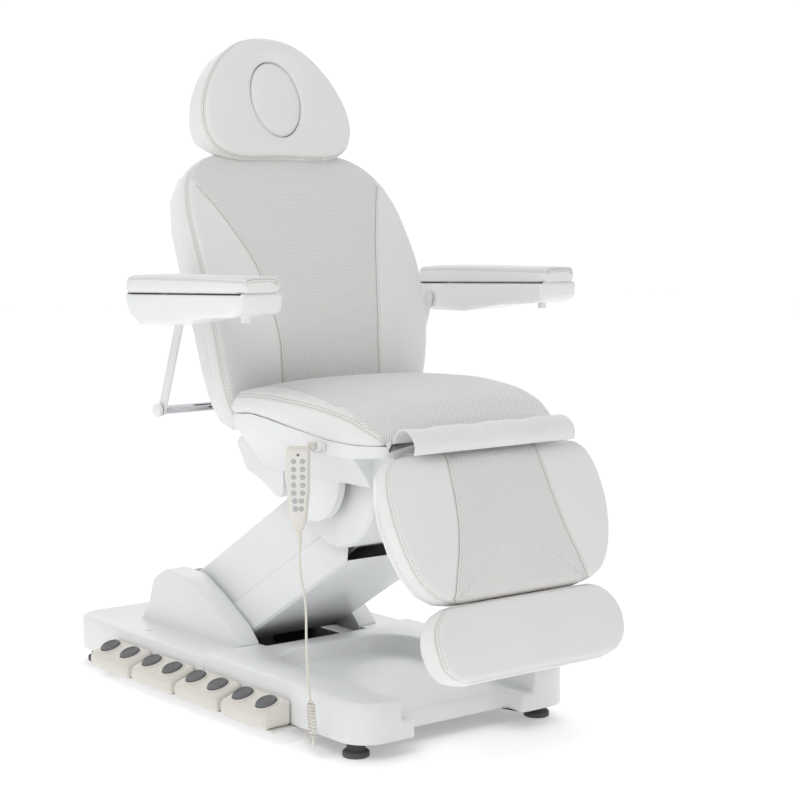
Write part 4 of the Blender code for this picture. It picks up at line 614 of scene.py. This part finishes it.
# ---------------------------------------------------------------- the bed
@dataclass
class Upholstery:
    """The back, seat, leg, foot, arm and head cushions."""

    back_half: Pairs = ((-0.032, 0.235), (-0.010, 0.262), (0.030, 0.280), (0.100, 0.296), (0.220, 0.308),
                        (0.330, 0.309), (0.440, 0.303), (0.515, 0.286), (0.568, 0.252), (0.602, 0.200),
                        (0.617, 0.150))
    back_front: Pairs = ((-0.032, 0.016), (0.010, 0.004), (0.050, -0.008), (0.120, -0.028), (0.200, -0.042),
                         (0.300, -0.045), (0.400, -0.032), (0.500, -0.012), (0.560, 0.006), (0.617, 0.026))
    back_rear: Pairs = ((-0.032, 0.059), (0.000, 0.057), (0.100, 0.041), (0.200, 0.027), (0.300, 0.029),
                        (0.420, 0.043), (0.500, 0.051), (0.560, 0.061), (0.617, 0.071))
    back_seam: Pairs = ((-0.032, 0.138), (0.052, 0.138), (0.119, 0.138), (0.200, 0.147), (0.313, 0.169),
                        (0.453, 0.222), (0.545, 0.268), (0.617, 0.300))
    seat_half: Pairs = ((0.127, 0.288), (0.200, 0.299), (0.300, 0.301), (0.400, 0.292), (0.480, 0.280),
                        (0.540, 0.266), (0.580, 0.252), (0.600, 0.240), (0.612, 0.226))
    seat_top: Pairs = ((0.127, -0.744), (0.160, -0.757), (0.280, -0.765), (0.420, -0.757), (0.530, -0.736),
                       (0.590, -0.704), (0.612, -0.690))
    seat_low: Pairs = ((0.127, -0.6865), (0.208, -0.6955), (0.281, -0.6905), (0.387, -0.6745),
                       (0.469, -0.6615), (0.545, -0.6565), (0.612, -0.6585))
    leg_half: Pairs = ((0.0, 0.215), (0.010, 0.252), (0.035, 0.277), (0.080, 0.290), (0.130, 0.292),
                       (0.190, 0.284), (0.245, 0.266), (0.283, 0.240), (0.304, 0.205), (0.314, 0.160))
    leg_seam: Pairs = ((0.0, 0.122), (0.079, 0.128), (0.151, 0.137), (0.205, 0.150), (0.264, 0.170),
                       (0.314, 0.186))

    def build(self) -> None:
        """Build every cushion."""
        self.back()
        self.seat()
        self.leg()
        self.foot()
        self.arms()
        self.head()
        self.flap()

    def back(self) -> None:
        """Build the back cushion, with its flared seams and perforated middle."""
        pad = Pad("back_pad", BACK, Profile(self.back_half), Profile(self.back_front), Profile(self.back_rear),
                  Profile(self.back_seam), 0.024, 0.012, Lie.PERFORATED, rows=110)
        make_piece("back_pad", pad.build(), VINYL, "backrest", ("back_cushion",))

    def seat(self) -> None:
        """Build the seat cushion, high in the middle with sloping sides."""
        pad = Pad("seat_pad", FLAT, Profile(self.seat_half), Profile(self.seat_top), Profile(self.seat_low),
                  Profile(((0.127, 0.222), (0.300, 0.240), (0.450, 0.252), (0.540, 0.262), (0.612, 0.290))), 0.024, 0.020,
                  Lie.PERFORATED, rows=90)
        make_piece("seat_pad", pad.build(), VINYL, "seat", ("seat_cushion",))

    def leg(self) -> None:
        """Build the leg cushion."""
        pad = Pad("leg_pad", LEG, Profile(self.leg_half),
                  Profile(((0.0, 0.006), (0.025, -0.001), (0.160, -0.008), (0.290, -0.003), (0.314, 0.004))),
                  Profile(((0.0, 0.0515), (0.314, 0.0515))), Profile(self.leg_seam), 0.015, 0.008,
                  Lie.PERFORATED, rows=60)
        make_piece("leg_pad", pad.build(), VINYL, "legrest", ("leg_cushion",))

    def foot(self) -> None:
        """Build the foot cushion, a pill that slides out below the leg rest."""
        half = ((0.3165, 0.190), (0.326, 0.216), (0.342, 0.236), (0.362, 0.250), (0.395, 0.257), (0.430, 0.252),
                (0.455, 0.234), (0.468, 0.208), (0.475, 0.176))
        pad = Pad("foot_pad", LEG, Profile(half), Profile(((0.3165, 0.000), (0.40, -0.008), (0.474, 0.000))),
                  Profile(((0.3165, 0.065), (0.474, 0.065))), None, 0.016, 0.008, rows=30)
        make_piece("foot_pad", pad.build(), VINYL, "footrest", ("foot_cushion",))

    def arms(self) -> None:
        """Build the two arm pads."""
        for name, side in (("right", -1), ("left", 1)):
            half = ((-0.028, 0.038), (-0.020, 0.050), (-0.006, 0.0548), (0.400, 0.0548), (0.420, 0.050),
                    (0.433, 0.036))
            pad = Pad("arm_rest_pad_" + name, FLAT, Profile(half),
                      Profile(((-0.028, -0.986), (0.0, -0.994), (0.200, -1.000), (0.433, -1.003))),
                      Profile(((-0.028, -0.9530), (0.433, -0.9690))), None, 0.010, 0.003, shift=-side * 0.413,
                      rows=60)
            piece = make_piece("arm_rest_pad_" + name, pad.build(), VINYL, "arm_" + name, ("arm_pad_" + name,))

    def head(self) -> None:
        """Build the head cushion round its face hole, and the plug that fills it."""
        half = [(0.0, 0.0), (0.060, 0.0), (0.120, 0.001), (0.168, 0.012), (0.194, 0.036), (0.205, 0.072),
                (0.202, 0.110), (0.187, 0.152), (0.160, 0.196), (0.118, 0.240), (0.072, 0.267), (0.035, 0.276),
                (0.0, 0.278)]
        dense = []
        for (ax, ay), (bx, by) in zip(half, half[1:]):
            dense += [(ax, ay), ((ax + bx) / 2, (ay + by) / 2)]
        dense.append(half[-1])
        outline = dense + [(-x, y) for x, y in dense[-2:0:-1]]
        centre = (0.0, 0.143)
        count = 144
        far = []
        for i in range(count):
            far.append(crossing(outline, centre, i * math.tau / count))
        smooth = np.array(far)
        for _ in range(6):
            smooth = (np.roll(smooth, 1) + 2 * smooth + np.roll(smooth, -1)) / 4
        smooth = np.minimum(smooth, np.array(far) + 0.0015)
        loops = []
        for i in range(count):
            angle = i * math.tau / count
            oval = 1 / math.sqrt((math.cos(angle) / 0.070) ** 2 + (math.sin(angle) / 0.0925) ** 2)
            loops.append(self.head_section(angle, oval, float(smooth[i]), centre))
        mesh = loops_mesh("head_pad", loops, True, [value for loop in loops for value in self.rim_of(loop)])
        make_piece("head_pad", mesh, VINYL, "head", ("head_cushion",))
        rings = []
        for share, depth in ((0.02, -0.0035), (0.35, -0.0032), (0.70, -0.001), (0.90, 0.0025), (0.975, 0.0065),
                             (1.0, 0.012), (1.0, 0.066), (0.97, 0.071), (0.02, 0.0712)):
            rings.append([HEAD @ Vector((0.0685 * share * math.cos(a), 0.143 + 0.091 * share * math.sin(a),
                                         -depth)) for a in (i * math.tau / 96 for i in range(96))])
        make_piece("face_plug_pad", loops_mesh("face_plug_pad", rings, store=self.plain(rings)),
                             VINYL, "plug", ("face_plug",))

    def rim_of(self, loop: list[Vector]) -> list:
        """Return the stored values of one section of the head cushion, whose seam runs at its fourteenth point."""
        way = [0.0]
        for a, b in zip(loop, loop[1:]):
            way.append(way[-1] + (b - a).length)
        turn = math.atan2(loop[14].z - HEAD.translation.z, loop[14].x)
        return [((0.0, 0.0, 0.0), (w - way[14], 0.17 * turn, 0.0), 0.0) for w in way]

    def plain(self, loops: list[list[Vector]]) -> list:
        """Return the stored values of a cover without a seam or holes."""
        return [((0.0, 0.0, 0.0), (0.5, 0.0, 0.0), 0.0) for loop in loops for _ in loop]

    def head_section(self, angle: float, near: float, far: float, centre: tuple[float, float]) -> list[Vector]:
        """Return the head cushion's section along one direction from the hole's middle."""
        thick = 0.0745
        far += 0.010 + 0.010 * math.sin(angle)
        heel = centre[1] + far * math.sin(angle)
        back = thick if heel > 0.05 else 0.034 + (thick - 0.034) * max(heel, 0.0) / 0.05
        wide = far - near
        path = [(near, 0.012), (near + 0.0012, 0.006), (near + 0.004, 0.0022), (near + 0.008, 0.0004)]
        path += [(near + 0.008 + (wide - 0.030) * s, -0.004 * math.sin(math.pi * s)) for s in
                 (0.12, 0.25, 0.4, 0.55, 0.7, 0.85)]
        for i in range(7):
            turn = i * math.pi / 12
            pinch = 0.0018 if i == 4 else 0.0
            path.append((far - 0.022 + (0.022 - pinch) * math.sin(turn), 0.022 - (0.022 - pinch) * math.cos(turn)))
        path += [(far, 0.3 * 0.022 + 0.7 * (back - 0.006)), (far, back - 0.006), (far - 0.0018, back - 0.0018),
                 (far - 0.006, back)]
        path += [(near + (far - 0.006 - near) * s, back + (thick - back) * (1 - s) ** 0.6) for s in
                 (0.8, 0.6, 0.4, 0.2)]
        path += [(near, thick)]
        return [HEAD @ Vector((r * math.cos(angle), centre[1] + r * math.sin(angle), -d)) for r, d in path]

    def flap(self) -> None:
        """Build the vinyl strip that bridges the seat and the leg rest."""
        knots = [(-0.6150, 0.6640), (-0.6230, 0.6800), (-0.6400, 0.6930), (-0.6600, 0.6930), (-0.6790, 0.6810),
                 (-0.6880, 0.6640), (-0.6850, 0.6470)]
        line = curve_points([Vector((0, y, z)) for y, z in knots], 26)
        loops = []
        for x in [-0.221, -0.219] + list(np.linspace(-0.210, 0.210, 41)) + [0.219, 0.221]:
            thin = 0.0006 if abs(x) > 0.220 else 0.0016
            sag = 0.0012 * math.sin(x * 46.0) + 0.0008 * math.sin(x * 91.0 + 1.0)
            upper, under = [], []
            for i, point in enumerate(line):
                ahead = line[min(i + 1, len(line) - 1)] - line[max(i - 1, 0)]
                aside = Vector((0, ahead.z, -ahead.y)).normalized()
                rise = sag * math.sin(math.pi * i / (len(line) - 1))
                upper.append(point + Vector((x, 0, 0)) + aside * (thin + rise))
                under.append(point + Vector((x, 0, 0)) - aside * (thin - rise))
            loops.append(upper + under[::-1])
        mesh = loops_mesh("leg_gap_strip", loops, store=self.plain(loops))
        piece = make_piece("leg_gap_strip", mesh, VINYL, "", ("leg_flap",))
        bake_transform(piece)


def curve_points(knots: list[Vector], count: int) -> list[Vector]:
    """Return evenly counted points on a smooth curve through knots.

    Args:
        knots: Points on the curve.
        count: How many points to return.

    Returns:
        The points.
    """
    line = [knots[0] * 2 - knots[1]] + knots + [knots[-1] * 2 - knots[-2]]
    points = []
    for i in range(count):
        at = i / (count - 1) * (len(knots) - 1)
        k = min(int(at), len(knots) - 2)
        t = at - k
        a, b, c, d = line[k:k + 4]
        points.append(0.5 * (2 * b + (c - a) * t + (2 * a - 5 * b + 4 * c - d) * t * t
                             + (3 * b - a - 3 * c + d) * t ** 3))
    return points


@dataclass
class Housings:
    """The moulded covers and shells, and the steelwork that shows between them."""

    covers: tuple[tuple[str, float, int], ...] = (
        ("rear_cover", 0.0035, 3), ("front_cover", 0.0040, 3), ("upper_arm_cover", 0.0030, 3),
        ("lower_arm_cover", 0.0012, 2), ("knuckle_cover", 0.0014, 2), ("seat_shell", 0.0040, 3),
        ("back_shell", 0.0045, 3), ("leg_shell", 0.0016, 2), ("arm_shell_right", 0.0018, 2),
        ("arm_shell_left", 0.0018, 2), ("tube_knob_right", 0.0012, 2), ("tube_knob_left", 0.0012, 2))
    steel: tuple[str, ...] = ("base_frame", "upper_link", "lift_actuator", "seat_frame", "back_frame",
                              "head_plate", "foot_rails")
    white: tuple[str, ...] = ("lower_link", "carrier_bracket", "pedal_bracket", "handset_hook", "arm_post_right", "arm_post_left")
    chromed: tuple[str, ...] = ("lift_rod", "cross_tube", "head_posts")
    caps: tuple[tuple[float, float, float], ...] = ((-0.245, -0.160, 0.128), (-0.245, -0.480, 0.128),
                                                    (0.245, -0.160, 0.128), (0.245, -0.480, 0.128),
                                                    (-0.250, 0.300, 0.118), (0.250, 0.300, 0.118))

    def build(self) -> None:
        """Dress every rigid piece."""
        for node, width, segments in self.covers:
            refined(node, node + "_skin", WHITE_ABS, width, segments)
        for node in self.steel:
            refined(node, node + "_steel", DARK_STEEL, 0.0008, 2)
        for node in self.white:
            refined(node, node + "_steel", WHITE_STEEL, 0.0005, 2)
        for node in self.chromed:
            self.dress(node, CHROME)
        self.screw_caps()

    def dress(self, node: str, finish: Finish) -> None:
        """Give a CAD node a better material."""
        solid = FRAME["nodes"][node]
        for place in solid.material_slots:
            place.material = finish.material()
        solid.data.shade_smooth()
        solid.data.set_sharp_from_angle(angle=math.radians(40))

    def screw_caps(self) -> None:
        """Build the small round caps over the cover screws."""
        for number, (x, y, z) in enumerate(self.caps, 1):
            rings = [(0.0095, -0.002), (0.0095, 0.0006), (0.0088, 0.0016), (0.0060, 0.0024), (0.0008, 0.0026)]
            mesh = rounded_disc("screw_cap", Vector((x, y, z)), Vector((0, 0, 1)), rings, 28)
            make_piece("screw_cap_%d" % number, mesh, WHITE_ABS, "base")


@dataclass
class FloorGear:
    """Levelling feet, transport wheels and the foot control."""

    foot_places: tuple[tuple[str, float, float], ...] = (
        ("rear_right", -0.255, 0.535), ("rear_left", 0.255, 0.535), ("front_right", -0.255, -0.535),
        ("front_left", 0.255, -0.535))
    slope: float = math.radians(20)
    button_radius: float = 0.0232

    def build(self) -> None:
        """Build the feet, wheels, housings and buttons."""
        for name, x, y in self.foot_places:
            rings = [(0.001, 0.0), (0.0265, 0.0), (0.0286, 0.0016), (0.0289, 0.006), (0.0286, 0.0112),
                     (0.0262, 0.0135), (0.0216, 0.0150), (0.0200, 0.0166), (0.0200, 0.0290), (0.0188, 0.0312),
                     (0.0080, 0.0322), (0.0068, 0.0330), (0.0068, 0.0415), (0.001, 0.0415)]
            mesh = rounded_disc("foot", Vector((x, y, 0)), Vector((0, 0, 1)), rings, 48)
            make_piece("level_foot_" + name, mesh, BLACK_RUBBER, "base", ("levelling_foot_" + name,))
        for name in ("right", "left"):
            refined("transport_wheel_" + name, "wheel_tyre_" + name, BLACK_RUBBER, 0.0008, 2)
        for number in range(1, 5):
            refined("pedal_housing_%d" % number, "pedal_case_%d" % number, WARM_ABS, 0.0022, 3)
        for number in range(1, 9):
            self.button(number)

    def button(self, number: int) -> None:
        """Build one foot button, with the raised ring and dimples a shoe finds."""
        low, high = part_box("pedal_button_%d" % number)
        middle = (low + high) / 2
        normal = Vector((-math.sin(self.slope), 0, math.cos(self.slope)))
        radius = self.button_radius
        rings = [(0.001, -0.0088), (radius - 0.0010, -0.0088), (radius, -0.0078), (radius, 0.0052),
                 (radius - 0.0006, 0.0068), (radius - 0.0022, 0.0082), (radius - 0.0042, 0.0088),
                 (radius - 0.0062, 0.0082), (radius - 0.0074, 0.0066), (radius - 0.0096, 0.0062),
                 (radius - 0.0108, 0.0074), (radius - 0.0128, 0.0074), (radius - 0.0140, 0.0062),
                 (0.0064, 0.0060), (0.0048, 0.0074), (0.0030, 0.0077), (0.0005, 0.0078)]
        mesh = rounded_disc("button", middle, normal, rings, 44)
        piece = make_piece("foot_button_%d" % number, mesh, BUTTON_RUBBER, "button_%d" % number,
                           ("pedal_button_%d" % number,), in_row=True)
        piece.data.shade_smooth()
        collar = [(0.0247, -0.004), (0.0247, 0.0016), (0.0254, 0.0026), (0.0268, 0.0026), (0.0282, 0.0012),
                  (0.0290, -0.0012), (0.0290, -0.004)]
        mesh = rounded_disc("collar", middle, normal, collar, 44, True)
        make_piece("well_collar_%d" % number, mesh, WARM_ABS, "base", in_row=True)


@dataclass
class Handset:
    """The hand control and its curled lead."""

    top: tuple[float, float, float] = (-0.340, -0.452, 0.652)
    turn: float = math.radians(-38)
    length: float = 0.175
    cord_radius: float = 0.0026
    turns: int = 11
    curl_radius: float = 0.0076
    keys: tuple[int, int] = (7, 2)
    panel: Matrix = field(init=False)

    def __post_init__(self) -> None:
        """Stand the handset's drawing."""
        self.panel = (Matrix.Translation(self.top) @ Matrix.Rotation(self.turn, 4, "Z")
                      @ frame_of((0, 0, 0), (1, 0, 0), (0, 0, 1)))

    def build_cord(self) -> None:
        """Build the lead: down from the handset, a curled stretch and a tail under the base."""
        start = self.panel @ Vector((0, -self.length + 0.002, 0)) - Vector((0, 0.004, 0.030))
        fall = Vector((0, -0.03, -1)).normalized()
        first = start + 0.0005 * fall
        knots = [first, first + Vector((-0.001, -0.003, -0.060)), Vector((-0.352, -0.492, 0.330)),
                 Vector((-0.353, -0.496, 0.240)), Vector((-0.352, -0.500, 0.170)), Vector((-0.350, -0.504, 0.131))]
        points = curve_points(knots, 26)
        axis = curve_points([Vector((-0.350, -0.5043, 0.128)), Vector((-0.3495, -0.508, 0.092)),
                             Vector((-0.348, -0.512, 0.050))], 200)
        total = self.turns * 16
        for i in range(total + 1):
            share = i / total
            middle = axis[min(int(share * 199), 199)]
            angle = share * self.turns * math.tau + 0.8
            grow = self.curl_radius * min(1.0, 6 * share + 0.15, 6 * (1 - share) + 0.15)
            points.append(middle + Vector((grow * math.cos(angle), grow * math.sin(angle), 0)))
        tail = [Vector(p) for p in ((-0.348, -0.5124, 0.0475), (-0.3475, -0.5115, 0.0400), (-0.345, -0.504, 0.0345),
                                    (-0.336, -0.482, 0.0325), (-0.322, -0.452, 0.0330), (-0.305, -0.425, 0.0345),
                                    (-0.285, -0.408, 0.0350))]
        points += curve_points(tail, 22)[1:]
        curve = bpy.data.curves.new("handset_lead", "CURVE")
        curve.dimensions = "3D"
        curve.bevel_depth = self.cord_radius
        curve.bevel_resolution = 3
        curve.use_fill_caps = True
        spline = curve.splines.new("POLY")
        spline.points.add(len(points) - 1)
        for place, point in zip(spline.points, points):
            place.co = (point.x, point.y + BASE_Y, point.z, 1)
        lead = bpy.data.objects.new("handset_lead", curve)
        bpy.context.scene.collection.objects.link(lead)
        curve.materials.append(WARM_ABS.material())
        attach(lead, "base")
        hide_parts("cord_straight", "cord_curl", "cord_tail")

    def build(self) -> None:
        """Build the handset's case, its foil and its keys."""
        refined("handset", "handset_case", WARM_ABS, 0.0016, 3)
        half = [(0.0, -0.006), (0.019, -0.006), (0.0205, -0.008), (0.0195, -0.095), (0.0150, -0.142),
                (0.0060, -0.160), (0.0, -0.161)]
        outline = half + [(-x, v) for x, v in half[-2:0:-1]]
        loops = []
        for inset, height in ((0.0, 0.0118), (0.0, 0.0126), (0.0006, 0.0130), (0.004, 0.0131)):
            loops.append([self.panel @ Vector((x * (1 - inset / 0.02), v + (inset if v > -0.08 else inset) *
                                               (-1 if v > -0.08 else 1), height)) for x, v in outline])
        make_piece("handset_foil", loops_mesh("handset_foil", loops), KEY_FOIL, "handset")
        normal = (self.panel.to_3x3() @ Vector((0, 0, 1))).normalized()
        number = 0
        for row in range(self.keys[0]):
            for column in range(self.keys[1]):
                number += 1
                x = (-1, 1)[column] * (0.0092 - 0.0005 * row * (row > 4))
                centre = self.panel @ Vector((x, -0.030 - 0.0165 * row, 0.0129))
                rings = [(0.0056, -0.0005), (0.0056, 0.0004), (0.0050, 0.0009), (0.0020, 0.0010), (0.0003, 0.0010)]
                mesh = rounded_disc("key", centre, normal, rings, 24)
                make_piece("handset_key_%02d" % number, mesh, KEY_CAP, "handset")
        lamp = self.panel @ Vector((0, -0.0165, 0.0129))
        rings = [(0.0030, -0.0005), (0.0030, 0.0004), (0.0024, 0.0008), (0.0003, 0.0009)]
        make_piece("handset_lamp", rounded_disc("lamp", lamp, normal, rings, 20), BUTTON_RUBBER, "handset")


@dataclass
class Studio:
    """The camera, the pale floor and the soft lights."""

    camera_at: tuple[float, float, float] = (-2.640, -3.689, 1.176)
    camera_turn: tuple[float, float, float] = (83.84, 0.0, -38.43)
    lens: float = 87.2

    def camera(self) -> None:
        """Stand the camera."""
        data = bpy.data.cameras.new("view")
        data.lens = self.lens
        data.sensor_width = 36.0
        eye = bpy.data.objects.new("view", data)
        eye.location = (self.camera_at[0], self.camera_at[1] + BASE_Y, self.camera_at[2])
        eye.rotation_euler = [math.radians(a) for a in self.camera_turn]
        bpy.context.scene.collection.objects.link(eye)
        bpy.context.scene.camera = eye

    def light(self, name: str, place: tuple[float, float, float], size: float, power: float) -> None:
        """Hang one soft lamp that points at the bed.

        Args:
            name: The lamp's name.
            place: Where it hangs.
            size: Its side.
            power: Its power in watts.
        """
        data = bpy.data.lights.new(name, "AREA")
        data.shape = "SQUARE"
        data.size = size
        data.energy = power
        lamp = bpy.data.objects.new(name, data)
        lamp.location = place
        lamp.rotation_euler = (Vector((0, 0, 0.7)) - Vector(place)).to_track_quat("-Z", "Y").to_euler()
        bpy.context.scene.collection.objects.link(lamp)

    def build(self) -> None:
        """Build the floor, the world and the lamps."""
        bm = bmesh.new()
        bmesh.ops.create_grid(bm, x_segments=8, y_segments=8, size=14.0)
        mesh = mesh_of(bm, "floor")
        floor = bpy.data.objects.new("floor", mesh)
        bpy.context.scene.collection.objects.link(floor)
        paper = Finish("seamless_paper", "FCFCFC", "FAFAFA", 0.85, grain_mm=3.0, grain=0.01)
        sweep = paper.material()
        glow = sweep.node_tree.nodes["Principled BSDF"]
        glow.inputs["Emission Color"].default_value = linear("FFFFFF")
        glow.inputs["Emission Strength"].default_value = 0.34
        mesh.materials.append(sweep)
        world = bpy.data.worlds.new("studio")
        world.use_nodes = True
        # A white backdrop behind the bed that falls off to a dimmer room in front of it
        tree = world.node_tree
        backdrop = tree.nodes["Background"]
        place = add_node(tree, "ShaderNodeTexCoord")
        toward = add_node(tree, "ShaderNodeVectorMath", {"operation": "DOT_PRODUCT"},
                          {0: place.outputs["Generated"], 1: (0.62, 0.78, 0.10)})
        power = add_node(tree, "ShaderNodeMapRange", {"interpolation_type": "SMOOTHSTEP"},
                         {0: toward.outputs["Value"], 1: -0.4, 2: 0.80, 3: 0.42, 4: 1.02})
        backdrop.inputs["Color"].default_value = linear("FFFFFF")
        tree.links.new(power.outputs[0], backdrop.inputs["Strength"])
        bpy.context.scene.world = world
        bpy.context.scene.view_settings.view_transform = "Standard"
        self.light("key", (-3.0, -1.6, 3.6), 2.2, 54.0)
        self.light("fill", (2.6, -3.4, 2.2), 2.6, 8.0)
        self.light("rim", (1.4, 3.2, 3.4), 2.2, 14.0)


FRAME: dict = {}
BODY_OF: dict[str, str] = {}


def main() -> None:
    """Build the treatment bed's looks in order."""
    logging.basicConfig(level=logging.INFO, format="%(name)s %(message)s")
    FRAME.update(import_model())
    for body, nodes in FRAME["record"]["behaviour"]["bodies"].items():
        for node in nodes:
            BODY_OF[node] = body
    studio = Studio()
    studio.camera()
    handset = Handset()
    handset.build_cord()
    studio.build()
    Housings().build()
    FloorGear().build()
    Upholstery().build()
    handset.build()


if __name__ == "__main__":
    main()
